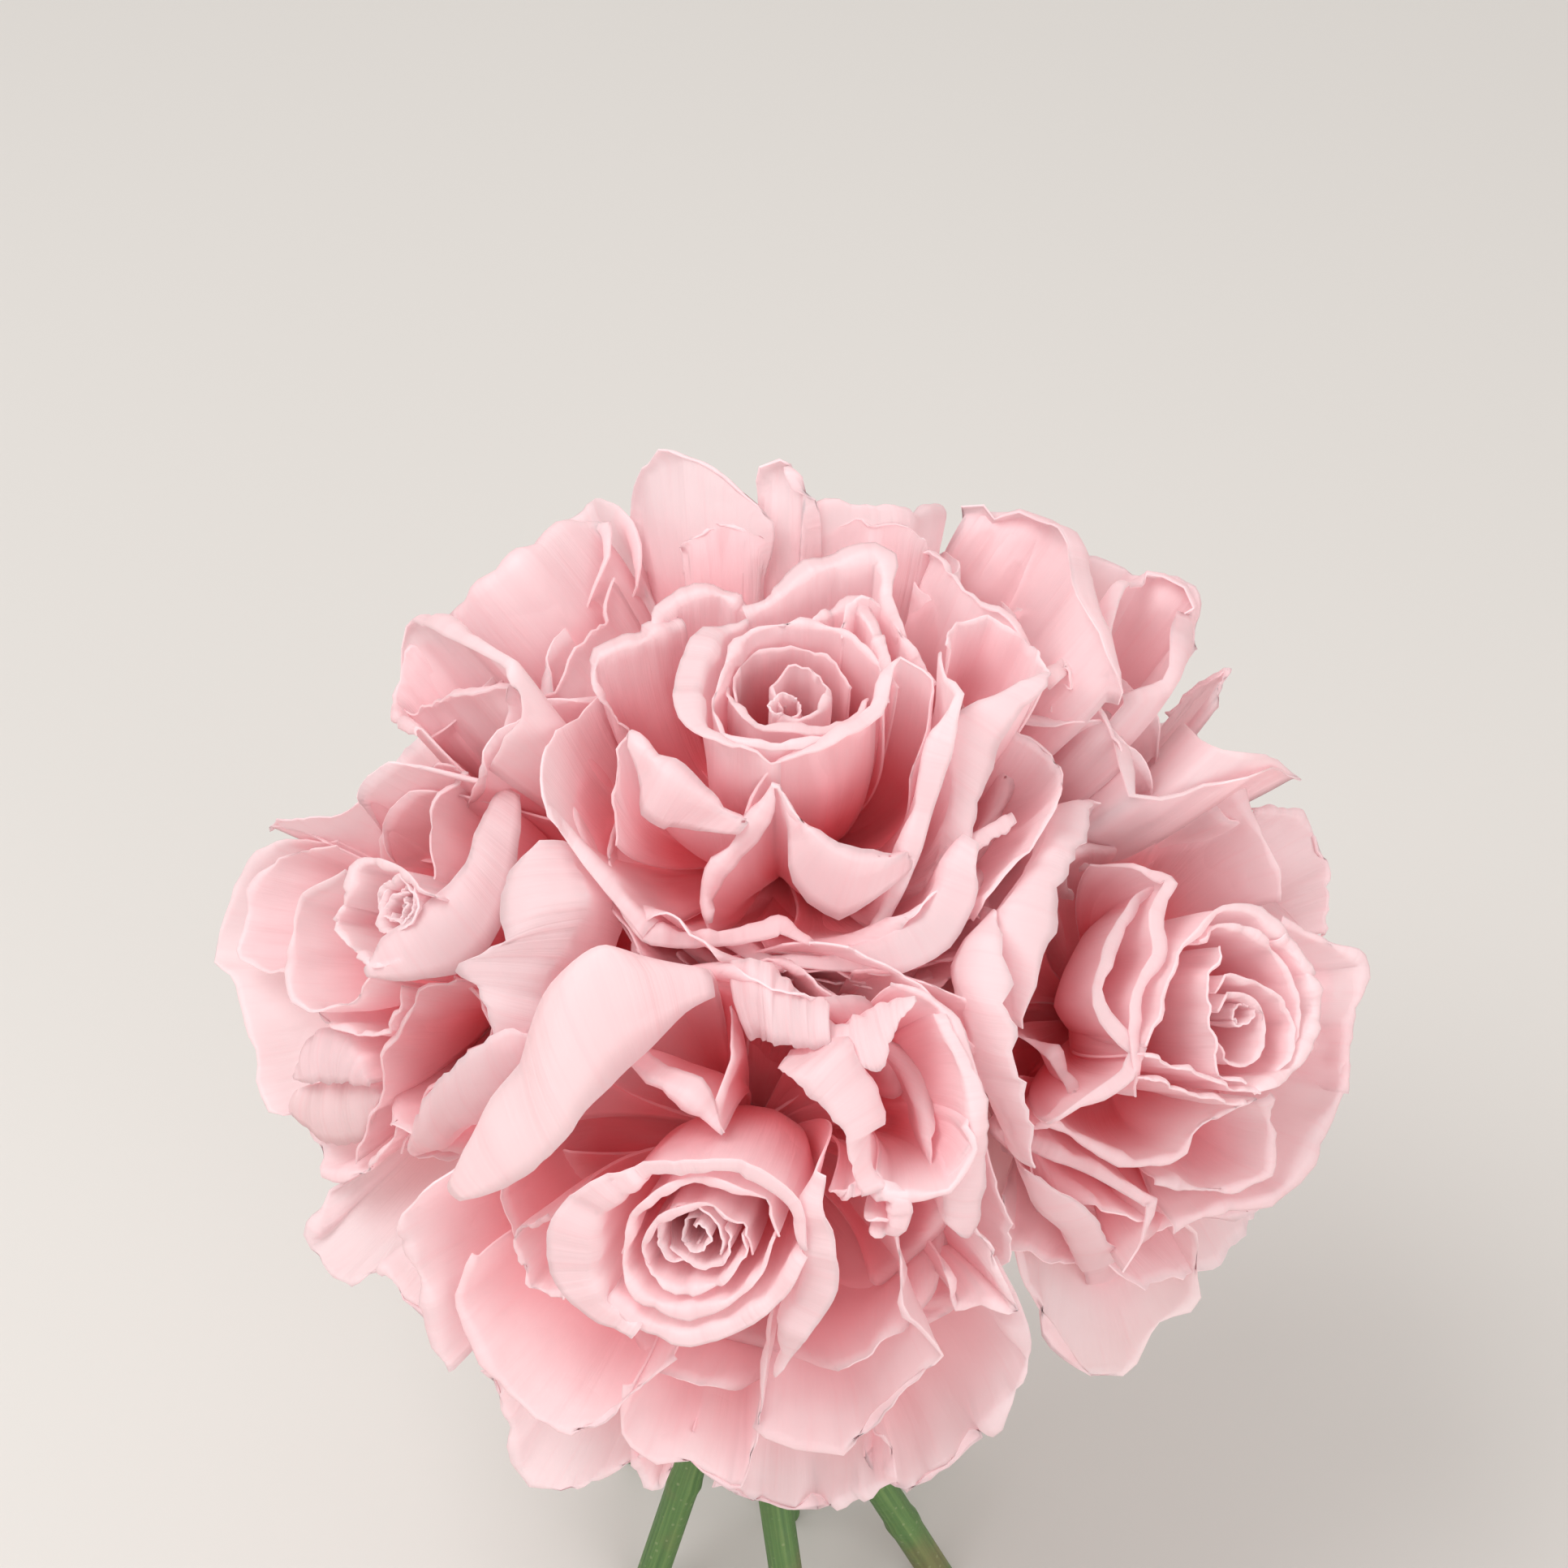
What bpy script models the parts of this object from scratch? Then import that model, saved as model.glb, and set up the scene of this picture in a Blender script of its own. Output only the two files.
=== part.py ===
"""A bouquet of seven open roses: a spiral hand-tied posy that stands on its cut stems.

Everything is worked out in millimetres from the dome's centre and becomes metres when a mesh is made.
"""
import math

import bmesh
import bpy
import numpy as np
from mathutils import Matrix

# Driving dimensions, in millimetres and degrees
MM = 0.001
DOME_HEIGHT = 150.0
DOME_SHIFT = 1.5
HEAD_DEPTH = 44.0
PETAL_THICKNESS = 0.7
PETAL_FOOT = 3.5
LEAST_FOLD = 3.5
NECK_RADIUS = 5.2
CORE_RADIUS = 13.5
CORE_TOP = 22.0
CORE_BOTTOM = -1.5
CORE_SIDES = 12
FOOT_LOWEST = 0.5
FOOT_HIGHEST = 14.5

# Room between neighbouring roses: petals are pressed away from a gently waved wall
WALL_GAP = 0.95
WALL_REACH = 4.5
TIP_CROSSING = 5.0
WALL_WAVE = 2.4
WALL_WAVE_LENGTH = 46.0

# Stems, hips, sepals and the tie
STEM_RADIUS = 3.2
STEM_SIDES = 10
HIP_GAP = 0.35
HIP = ((5.4, 0.0), (6.2, 2.5), (5.6, 6.0), (3.9, 9.0), (3.2, 11.0))
SEPALS = 5
SEPAL = ((4.6, -4.2), (8.2, -4.6), (10.8, -7.5), (11.8, -11.5))
SEPAL_WIDTHS = (2.2, 2.6, 1.8, 0.5)
SEPAL_THICKNESS = 0.8
SEPAL_TURN = 13.0
WAIST_DEPTH = 75.0
WAIST_RADIUS = 7.2
SLOTS = {"front": -115, "right": -55, "back_right": 5, "back": 65, "back_left": 125, "left": 185}
SPIRAL_TURN = 75.0
FOOT_RADIUS = 34.0
NECK_REACH = 3.0
WAIST_REACH = 40.0
TIE_HEIGHT = 11.0
TIE_CLEARANCE = 0.4
TIE_TURNS = 5
TIE_TWINE = 1.1
TIE_SIDES = 16

# Colours, with roughness
MATERIALS = {
    "petal": ((0.86, 0.52, 0.55), 0.55),
    "stem": ((0.16, 0.27, 0.10), 0.5),
    "twine": ((0.55, 0.42, 0.27), 0.9),
}
SHARP_EDGE = 40.0

# The photo's view, in which rims are measured: side in pixels, angles in degrees, distance in millimetres
VIEW_SIDE = 1932
VIEW_ANGLE = 28.0
VIEW_ELEVATION = 50.0
VIEW_PITCH = 45.4
VIEW_DISTANCE = 534.0

# Each rose: the middle of its cup from the dome's centre, its axis (from vertical, direction), bud size,
# seed, how many triangles its bloom may hold, and how much further each next layer is pressed back
ROSES = {
    "top": dict(cup=(0, 0, 80), axis=(2, -90), bud=0.90, seed=1, triangles=2350, step=0.55),
    "front": dict(cup=(-13.5, -70, 37), axis=(66, -104), bud=0.95, seed=2, triangles=2550, step=0.22),
    "right": dict(cup=(72.5, -26, 37), axis=(50, -44), bud=0.72, seed=3, triangles=2150, step=0.22),
    "back_right": dict(cup=(47, 44, 50), axis=(50, 40), bud=0.80, seed=4, triangles=1850, step=0.22),
    "back": dict(cup=(0, 60, 52), axis=(50, 88), bud=0.80, seed=5, triangles=1550, step=0.22),
    "back_left": dict(cup=(-50, 34, 50), axis=(50, 146), bud=0.80, seed=6, triangles=1650, step=0.22),
    "left": dict(cup=(-60.5, -14.5, 49), axis=(48, 212), bud=0.50, seed=7, triangles=1950, step=0.2),
}
RING = tuple(SLOTS)


def rim(*points, belly=None, lip=0.8, inward=False, free=(), from_centre=False):
    """One measured petal: how full its belly is, whether its margin folds towards the rose's axis, and the
    measured free edge of a margin that is wide.

    A point is photo x, photo y, height above the rose's base (or distance from the dome's centre, for the
    roses at the back) and, where the margin folds over, the width of the fold, which is otherwise lip."""
    return dict(points=points, belly=belly, lip=lip, inward=inward, free=free, from_centre=from_centre)


# Measured petals, rose by rose; a rim runs anticlockwise about the rose's axis
PETALS = {
    "top": (
        rim((842, 812, 46), (820, 860, 45, 1.5), (845, 900, 43), (900, 921, 42), (958, 932, 41),
            (1000, 935, 38), belly=.95),
        rim((925, 990, 33), (955, 935, 41), (1020, 905, 44), (1075, 865, 46), (1102, 816, 49),
            (1150, 845, 46), (1140, 930, 36), belly=.9),
        rim((1080, 880, 44), (1085, 830, 46), (1062, 775, 48), (1010, 770, 47), (960, 765, 46), belly=.9),
        rim((1000, 765, 46), (930, 770, 46), (860, 790, 46), (830, 830, 45), belly=.9),
        rim((868, 1118, 22, 2), (884, 1062, 29, 4), (918, 1012, 35, 4), (955, 962, 40, 1),
            (992, 1010, 37, 6), (1030, 1038, 34, 14), (1060, 1048, 33, 13), (1095, 1052, 32, 6),
            (1120, 1040, 30, 2), belly=.9),
        rim((757, 1010, 28), (757, 930, 40), (770, 903, 43, 1), (803, 925, 43, 9), (860, 965, 40, 9),
            (918, 1012, 35, 5)),
        rim((845, 782, 41, 3), (800, 790, 42, 5), (735, 812, 40, 4), (738, 862, 36, 1), (770, 905, 30)),
        rim((740, 862, 34), (690, 905, 34), (650, 930, 34), (622, 1005, 31, 3), (670, 1030, 30, 3.5),
            (730, 1095, 27, 3.5), (792, 1152, 23, 3)),
        rim((745, 1105, 22, 3), (790, 1152, 22, 3), (860, 1150, 22, 3), (930, 1150, 22, 3),
            (970, 1135, 24, 3), (1000, 1165, 22)),
        rim((905, 1160, 20), (980, 1190, 19), (1085, 1202, 20, 2), (1150, 1150, 23, 2),
            (1197, 1085, 27, 3), (1195, 1030, 31, 3)),
        rim((1085, 1130, 20), (1105, 1050, 30), (1130, 960, 40), (1148, 890, 47), (1180, 855, 49),
            (1150, 835, 48), (1158, 795, 48)),
        rim((1130, 1060, 24), (1168, 960, 38, 2), (1156, 890, 44, 9), (1210, 865, 45, 12),
            (1280, 832, 45, 2), (1262, 790, 43), (1200, 762, 44), (1170, 775, 44)),
        rim((1150, 842, 42), (1105, 790, 46), (1063, 737, 50), (1045, 765, 48), (1010, 775, 46)),
        rim((1110, 760, 44), (1078, 692, 51), (1000, 710, 50), (950, 745, 47), (915, 767, 44), lip=2),
        rim((925, 770, 42), (880, 735, 45), (825, 742, 44), (815, 788, 41), lip=2),
        rim((1190, 1110, 20), (1200, 1040, 28), (1250, 1008, 32, 4), (1262, 930, 33),
            (1250, 880, 34), lip=2),
    ),
    "front": (
        rim((985, 1535, 43.5, 2), (972, 1482, 44, 3), (930, 1452, 44.5, 3.5), (872, 1440, 44.5, 3),
            (805, 1450, 44, 3.5), (762, 1478, 43.5, 4), belly=.95),
        rim((800, 1454, 43.5, 4), (760, 1480, 44, 6), (738, 1520, 44.5, 8), (736, 1562, 44.5, 7.5),
            (752, 1600, 44, 5), (792, 1628, 43, 3), belly=.95),
        rim((756, 1588, 42.5, 2), (800, 1622, 43, 3), (852, 1636, 43.5, 3), (908, 1618, 43.5, 3),
            (958, 1578, 43.5, 3), (988, 1538, 43, 2), belly=.95),
        rim((958, 1520, 43), (940, 1480, 43.5, 1), (890, 1460, 44, 2), (830, 1466, 44, 2),
            (785, 1498, 43.5, 1.5), (772, 1545, 43), belly=.98),
        rim((778, 1520, 42.5), (772, 1560, 43, 1), (795, 1592, 43.5, 2), (845, 1608, 43.5, 2.5),
            (895, 1596, 43.5, 2), (940, 1560, 43, 1), (952, 1520, 42.5), belly=.98),
        rim((908, 1240, 20), (904, 1305, 27), (886, 1362, 33, 1), (892, 1400, 36, 1),
            (848, 1360, 35, 5), (800, 1334, 33, 5), (768, 1308, 30, 5)),
        rim((872, 1190, 25), (800, 1150, 28), (742, 1120, 31), (702, 1148, 33), (668, 1205, 35),
            (654, 1270, 37), (640, 1312, 38), (600, 1352, 40), (566, 1405, 41),
            (550, 1456, 41), free=((880, 1228, 27), (850, 1242, 30), (812, 1282, 34), (775, 1318, 38),
            (745, 1345, 41), (725, 1364, 43), (700, 1400, 45), (662, 1440, 46), (612, 1468, 46),
            (568, 1480, 45))),
        rim((655, 1278, 24), (628, 1268, 27), (596, 1284, 29), (560, 1310, 31), (530, 1345, 33),
            (515, 1380, 33), free=((640, 1310, 28), (625, 1325, 30), (602, 1350, 32), (582, 1380, 34),
            (560, 1406, 35), (528, 1406, 35))),
        rim((560, 1405, 31), (520, 1425, 33), (495, 1430, 33, 1), (500, 1446, 33, 1.5),
            (490, 1478, 33, 2), (503, 1515, 32.5, 2), (520, 1555, 32, 2), (535, 1595, 31, 2),
            (540, 1640, 30, 2), (560, 1685, 29)),
        rim((590, 1545, 31), (570, 1600, 31), (590, 1650, 31), (650, 1730, 31), (700, 1762, 31),
            (722, 1756, 31), (780, 1710, 30), (830, 1670, 28), lip=1),
        rim((600, 1685, 22), (632, 1745, 22), (645, 1808, 21), (690, 1836, 21), (750, 1808, 21),
            (795, 1790, 22), lip=1),
        rim((775, 1700, 29), (770, 1760, 28), (800, 1795, 27), (850, 1800, 26), (905, 1836, 25),
            (925, 1780, 27), (945, 1660, 32), (950, 1600, 36)),
        rim((930, 1750, 27), (985, 1775, 26), (1040, 1782, 26), (1100, 1715, 28), (1158, 1668, 30),
            (1110, 1605, 33), (1095, 1500, 36), (1075, 1490, 38)),
        rim((958, 1690, 36, 1), (966, 1625, 39.5, 5), (984, 1570, 41.5, 7), (988, 1515, 42.5, 6),
            (990, 1470, 43, 4), (1002, 1438, 43, 3)),
        rim((880, 1825, 17), (960, 1858, 16), (1000, 1858, 16), (1060, 1835, 16), (1100, 1812, 17),
            (1085, 1760, 18)),
        rim((1085, 1790, 16), (1115, 1835, 15), (1200, 1770, 16), (1255, 1700, 18), (1262, 1665, 18),
            (1250, 1600, 20), (1220, 1540, 22)),
        rim((1165, 1560, 26), (1178, 1608, 25), (1215, 1600, 26), (1250, 1615, 26), (1220, 1550, 28),
            (1185, 1490, 30)),
        rim((1096, 1462, 37), (1078, 1440, 37), (1066, 1392, 35.5), (1090, 1384, 35),
            (1062, 1314, 32.5), (1046, 1282, 31), (1005, 1300, 30),
            (968, 1302, 29), free=((1060, 1476, 39), (1050, 1440, 39.5), (1040, 1398, 39),
            (1016, 1366, 38), (985, 1338, 36.5), (972, 1326, 35), (962, 1318, 33), (958, 1314, 31))),
        rim((1022, 1238, 25), (985, 1222, 24), (955, 1200, 23), (925, 1174, 22),
            (902, 1176, 20), free=((1024, 1290, 30), (985, 1292, 29.5), (952, 1284, 29),
            (932, 1280, 27), (920, 1278, 25))),
        rim((1128, 1226, 25), (1095, 1236, 26), (1068, 1254, 27), (1045, 1262, 27),
            (1020, 1262, 26), free=((1130, 1234, 26), (1102, 1268, 29), (1088, 1320, 32),
            (1060, 1314, 32), (1022, 1288, 29))),
        rim((1080, 1440, 36, 1), (1096, 1464, 36.5, 2), (1130, 1467, 36, 2), (1166, 1461, 35, 2),
            (1197, 1410, 33.5, 1.5), (1184, 1384, 32, 1), (1205, 1360, 30), (1182, 1292, 26, 2),
            (1135, 1216, 21, 2), (1100, 1206, 20)),
        rim((1184, 1524, 31), (1166, 1500, 32), (1164, 1462, 32.5), (1200, 1400, 33),
            (1188, 1330, 30), (1150, 1250, 25), free=((1196, 1524, 29), (1208, 1495, 30),
            (1214, 1440, 31), (1218, 1380, 31), (1206, 1325, 29), (1165, 1250, 25))),
        rim((745, 1112, 14), (700, 1075, 17), (662, 1040, 19, 1), (640, 1070, 20, 3),
            (615, 1090, 21, 4), (620, 1120, 21, 5), (618, 1150, 22, 5), (622, 1160, 22, 4),
            (600, 1175, 24, 4), (585, 1165, 24, 4), (570, 1175, 25, 3), (562, 1198, 26, 2),
            (590, 1215, 26, 2), (600, 1245, 26, 2), (604, 1272, 26, 1), (650, 1290, 26), inward=True),
        rim((1240, 1300, 12), (1205, 1235, 12), (1155, 1190, 12), (1105, 1185, 12), (1050, 1200, 12)),
    ),
    "right": (
        rim((1612, 1205, 44.5, 1.5), (1574, 1156, 44.5, 2), (1546, 1131, 44, 2.5),
            (1510, 1126, 43.5, 2), (1480, 1140, 43, 1.5), (1458, 1172, 42.5, 1.5),
            (1432, 1235, 42, 1.5), (1414, 1290, 42, 1), belly=.95),
        rim((1540, 1345, 44, 1), (1588, 1312, 44.5, 2), (1606, 1280, 45, 2), (1617, 1240, 45, 2),
            (1602, 1195, 45, 2), (1572, 1156, 44.5, 1.5), belly=.95),
        rim((1408, 1300, 42), (1450, 1312, 43, 1), (1500, 1332, 43.5, 1), (1548, 1345, 44, 1), belly=.95),
        rim((1585, 1300, 43.5), (1596, 1262, 44, 1), (1590, 1220, 44, 1), (1568, 1180, 44, 1.5),
            (1538, 1152, 43.5, 1.5), (1500, 1146, 43, 1.5), (1474, 1162, 42.5, 1), belly=.98),
        rim((1420, 1090, 30), (1398, 1118, 34, 2), (1374, 1170, 36, 3), (1360, 1232, 38, 3),
            (1385, 1266, 39, 3.5), (1413, 1290, 40, 3.5), (1402, 1332, 40, 4), (1340, 1362, 38, 2),
            (1290, 1386, 34, 1)),
        rim((1345, 1062, 26), (1400, 1063, 32, 2), (1450, 1090, 38, 3), (1427, 1135, 39, 3),
            (1432, 1180, 40, 3), (1402, 1235, 40, 2.5), (1398, 1300, 39, 2), (1402, 1350, 38, 1)),
        rim((1575, 1110, 26), (1570, 1080, 28, 1), (1530, 1000, 28, 2), (1495, 958, 26, 2),
            (1440, 966, 24, 3), (1345, 985, 18, 2)),
        rim((1628, 1150, 24), (1632, 1060, 22, 2), (1602, 1010, 22, 2), (1545, 1002, 22), lip=2),
        rim((1645, 1345, 30), (1655, 1260, 31, 2), (1672, 1188, 31, 2), (1620, 1163, 31, 2),
            (1575, 1140, 30), lip=2),
        rim((1440, 1505, 24), (1500, 1482, 25), (1578, 1462, 28, 3), (1620, 1382, 30, 3),
            (1650, 1340, 31, 2), (1655, 1260, 31), lip=2),
        rim((1290, 1375, 30), (1400, 1430, 31), (1452, 1418, 33), (1475, 1385, 35, 2),
            (1545, 1350, 38), lip=1.5),
        rim((1420, 1450, 28), (1520, 1458, 29, 2), (1556, 1440, 31, 2), (1561, 1400, 33, 2),
            (1550, 1350, 36), lip=1.5),
        rim((1238, 1372, 18), (1272, 1397, 24, 3), (1350, 1430, 27, 3), (1425, 1476, 29, 3),
            (1400, 1540, 26, 1), (1378, 1562, 24)),
        rim((1262, 1440, 14), (1270, 1490, 16, 3), (1302, 1514, 17, 4), (1332, 1565, 17, 5),
            (1350, 1630, 16, 2), (1372, 1660, 16), inward=True),
        rim((1250, 1480, 10), (1310, 1620, 9), (1350, 1690, 10), (1385, 1690, 11), (1425, 1630, 13),
            (1465, 1600, 14), (1470, 1520, 16), (1440, 1495, 18)),
        rim((1205, 1110, 17, 3), (1166, 1150, 19, 9), (1160, 1215, 21, 10), (1176, 1278, 23, 8),
            (1208, 1312, 24, 6), (1238, 1372, 26, 4), (1266, 1436, 28, 2), inward=True),
        rim((1322, 948, 22, 3), (1298, 996, 22, 6), (1264, 1054, 22, 8), (1224, 1130, 22, 5),
            (1240, 1190, 24, 2), (1252, 1290, 27, 2), inward=True),
        rim((1240, 1260, 22), (1300, 1298, 28, 2), (1336, 1354, 32, 3), (1290, 1385, 30, 2),
            (1262, 1400, 27)),
        rim((1250, 1050, 12), (1170, 1120, 10), (1118, 1205, 10), (1148, 1300, 12), (1205, 1370, 14)),
    ),
    "back_right": (
        rim((1130, 770, 76), (1142, 690, 86, 3), (1190, 736, 88, 4), (1238, 760, 88, 4),
            (1258, 790, 87, 4), (1262, 835, 82, 2), from_centre=True),
        rim((1180, 730, 80), (1182, 652, 89, 3), (1200, 630, 91, 3), (1226, 652, 91, 3),
            (1262, 640, 94, 5), (1300, 655, 95, 6), (1338, 695, 95, 6), (1352, 760, 94, 6),
            (1366, 820, 90, 5), (1362, 866, 85, 2), from_centre=True),
        rim((1352, 868, 82), (1357, 780, 90, 2), (1365, 728, 94, 3), (1400, 722, 96, 4),
            (1450, 728, 97, 5), (1462, 765, 97, 5), (1458, 815, 94, 5), (1440, 856, 90, 3),
            (1385, 870, 85, 2), from_centre=True),
        rim((1440, 885, 84), (1480, 850, 90, 2), (1515, 828, 96, 2), (1500, 866, 92, 1),
            (1460, 905, 84), lip=1, from_centre=True),
        rim((1475, 800, 88), (1470, 725, 92), (1390, 705, 93), (1330, 690, 94), (1290, 650, 95),
            (1190, 632, 92), lip=3, from_centre=True),
        rim((1340, 850, 76), (1374, 905, 79, 4), (1394, 945, 80, 5), (1397, 985, 79, 4),
            (1440, 978, 82, 3), (1482, 965, 86, 3), (1540, 988, 91, 3), (1592, 974, 94, 3),
            (1556, 950, 94, 2), (1500, 928, 91), (1455, 902, 85), from_centre=True),
    ),
    "back": (
        rim((795, 745, 78), (792, 650, 90, 3), (800, 594, 98, 3), (820, 575, 101, 3),
            (852, 590, 101, 4), (895, 625, 98, 4), (925, 662, 94, 4), (936, 702, 88, 3),
            (938, 750, 78), from_centre=True),
        rim((940, 740, 76), (945, 610, 95, 2), (955, 580, 99, 3), (972, 578, 99, 3),
            (988, 625, 96, 3), (1002, 700, 86, 2), (1010, 740, 78), from_centre=True),
        rim((1180, 700, 80), (1172, 650, 90, 3), (1110, 645, 92, 4), (1060, 645, 92, 4),
            (1010, 632, 93, 4), (990, 650, 90, 2), (985, 700, 84), from_centre=True),
        rim((845, 720, 84), (852, 690, 89, 3), (890, 660, 91, 4), (915, 680, 90, 4),
            (925, 740, 80), from_centre=True),
        rim((1020, 720, 80), (1022, 668, 88, 3), (1060, 655, 90, 4), (1110, 668, 90, 4),
            (1150, 690, 88, 2), (1165, 740, 80), from_centre=True),
    ),
    "back_left": (
        rim((500, 872, 80), (500, 805, 86), (520, 770, 91, 3), (548, 764, 92, 4), (600, 790, 92, 4),
            (648, 815, 92, 4), (672, 850, 90, 4), (664, 892, 86, 3), (632, 936, 80, 2),
            (605, 960, 76), from_centre=True),
        rim((736, 810, 74), (738, 745, 82, 3), (743, 690, 88, 4), (736, 652, 92, 4),
            (700, 655, 94, 4), (645, 695, 94, 4), (592, 740, 92, 4), (560, 770, 90, 2), from_centre=True),
        rim((800, 810, 70), (794, 720, 82, 3), (776, 655, 90, 4), (758, 628, 93, 4),
            (730, 635, 93, 3), (690, 655, 91), (600, 720, 88), from_centre=True),
        rim((640, 900, 70), (690, 850, 78), (720, 812, 80), (745, 770, 80),
            (760, 720, 84, 2), lip=2, from_centre=True),
        rim((570, 780, 80), (505, 800, 84), (490, 860, 84), (520, 900, 84), lip=2, from_centre=True),
    ),
    "left": (
        rim((430, 1118, 43.5), (418, 1136, 43.5, 1), (440, 1166, 43.5, 1), (468, 1186, 43.5, 1.5),
            (500, 1180, 42), belly=.95),
        rim((535, 1112, 43), (522, 1098, 43.5, 1), (500, 1080, 44, 1.5), (470, 1067, 44, 1.5),
            (445, 1070, 44, 2), (436, 1105, 44, 2), (416, 1136, 43.5, 1), belly=.95),
        rim((448, 1193, 44.5), (458, 1178, 44.5), (470, 1158, 44), (500, 1135, 43), (530, 1110, 41.5),
            (560, 1085, 39.5), (580, 1052, 37), (590, 1020, 35),
            (620, 958, 29), free=((452, 1204, 44), (490, 1209, 42), (530, 1206, 39), (562, 1200, 35),
            (600, 1172, 29), (622, 1130, 25), (630, 1080, 24), (628, 1020, 25), (626, 965, 27))),
        rim((430, 1075, 38), (400, 1090, 38), (374, 1112, 37, 1), (368, 1150, 36, 1),
            (361, 1190, 35, 1.5), (363, 1222, 35, 1.5), (385, 1241, 35, 1.5), (412, 1238, 35, 1),
            (445, 1220, 36, 1), (462, 1205, 38)),
        rim((392, 1240, 32), (415, 1262, 32, 1), (450, 1272, 32, 1), (485, 1268, 33, 1),
            (498, 1245, 34, 1), (492, 1215, 35)),
        rim((362, 1325, 27), (378, 1282, 28), (400, 1266, 28.5), (428, 1280, 29), (446, 1308, 29),
            (456, 1335, 28), free=((364, 1331, 27), (375, 1334, 28), (395, 1335, 28), (420, 1334, 28),
            (440, 1335, 28), (456, 1339, 27))),
        rim((364, 1344, 24), (400, 1336, 25), (430, 1334, 25), (455, 1337, 25),
            (470, 1352, 24), free=((357, 1372, 21), (392, 1400, 20), (420, 1412, 20), (450, 1402, 21),
            (468, 1362, 23))),
        rim((440, 1430, 18), (450, 1402, 21), (457, 1376, 23, 1), (470, 1352, 26, 1),
            (478, 1320, 28, 1), (484, 1293, 30, 1), (497, 1265, 32, 1.5), (506, 1240, 34, 1.5),
            (528, 1212, 36, 1), (562, 1203, 35)),
        rim((430, 1010, 24), (405, 1022, 24, 1), (350, 1040, 24, 2), (312, 1072, 24, 2),
            (290, 1112, 24, 2), (272, 1155, 24, 2), (268, 1180, 24, 1), (292, 1200, 24, 1),
            (306, 1245, 25, 2), (320, 1295, 24, 2), (325, 1340, 23, 2), (340, 1368, 22, 1),
            (362, 1366, 22)),
        rim((420, 1040, 28), (350, 1062, 28, 1), (318, 1095, 28, 2), (306, 1140, 28, 2),
            (300, 1175, 28, 1), (330, 1195, 28), (362, 1200, 29)),
        rim((545, 872, 24), (500, 866, 24, 2), (470, 876, 23, 2), (440, 886, 22, 2),
            (388, 890, 21, 3), (372, 925, 21, 3), (378, 950, 22, 2), (400, 975, 23, 1),
            (410, 1000, 24, 1), (409, 1026, 26)),
        rim((537, 1102, 36), (529, 1050, 35, 1), (527, 1010, 34, 1.5), (540, 985, 33, 1.5),
            (565, 960, 31, 2), (578, 925, 29, 2.5), (572, 902, 28, 2.5), (548, 872, 26, 1), (530, 868, 25)),
        rim((362, 1372, 18), (395, 1402, 17, 1), (400, 1438, 17, 1), (428, 1446, 17, 1),
            (470, 1425, 20), (495, 1380, 24)),
        rim((430, 1458, 12), (410, 1470, 12), (405, 1492, 12), (384, 1530, 12), (400, 1556, 12),
            (437, 1576, 13), (455, 1565, 14), (480, 1560, 16), (500, 1600, 15), (540, 1640, 14), lip=1),
        rim((640, 1300, 12), (690, 1215, 13), (742, 1130, 14), (712, 1075, 15), (668, 1040, 17),
            (640, 1010, 18)),
    ),
}


# Whorls that no one petal of the photo settles: how many, the first one's direction, their spine as
# (radius, height) and their half width
BUD = (
    dict(n=3, first=50, spine=((3, 19), (5.8, 26), (6.6, 36), (5.6, 44)), width=11.5, hug=(1, 1), yaw=9),
    dict(n=3, first=100, spine=((6, 18), (9.8, 25), (10.5, 36), (9.6, 45)), width=18.0, hug=(1, 1), yaw=7),
    dict(n=3, first=20, spine=((8, 16), (13.2, 23), (14.4, 36), (13.8, 46)), width=23.5, hug=(1, 1), yaw=6),
)
FILL = (dict(n=4, first=10, spine=((3.5, 0.3), (18, 5), (28, 16), (34, 27)), width=23, hug=(1, 0.4), yaw=6),)
BACK = (
    dict(n=4, first=30, spine=((3.5, 0.5), (17.5, 9), (22, 30), (26, 44)), width=27, hug=(1, 0.6), yaw=5),
    dict(n=4, first=0, spine=((4, 0), (20, 7), (28, 25), (36, 38)), width=29, hug=(1, 0.4), yaw=5),
)
GUARD = (dict(n=5, first=40, spine=((4, -0.3), (20, 1), (33, 8), (44, 14)), width=27, hug=(0.9, 0.3), yaw=5),)


def smooth(low, high, x):
    t = np.clip((x - low) / (high - low), 0, 1)
    return t * t * (3 - 2 * t)


def unit(tilt, turn):
    p, a = math.radians(tilt), math.radians(turn)
    return np.array([math.sin(p) * math.cos(a), math.sin(p) * math.sin(a), math.cos(p)])


# The view's frame
FOCAL = VIEW_SIDE / 2 / math.tan(math.radians(VIEW_ANGLE / 2))
EYE = VIEW_DISTANCE * np.array([0, -math.cos(math.radians(VIEW_ELEVATION)),
                                math.sin(math.radians(VIEW_ELEVATION))])
FORWARD = np.array([0, math.cos(math.radians(VIEW_PITCH)), -math.sin(math.radians(VIEW_PITCH))])
UPWARD = np.array([0, math.sin(math.radians(VIEW_PITCH)), math.cos(math.radians(VIEW_PITCH))])


def place_roses():
    """Adds to each rose its axis, its base and its frame, whose second column leans to the view's up."""
    for rose in ROSES.values():
        axis = unit(*rose["axis"])
        up = UPWARD - UPWARD @ axis * axis
        up /= np.linalg.norm(up)
        rose["direction"] = axis
        rose["top"] = np.array(rose["cup"], float)
        rose["base"] = rose["top"] - HEAD_DEPTH * axis
        rose["frame"] = np.stack([np.cross(up, axis), up, axis], 1)
        rose["walls"] = []


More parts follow.
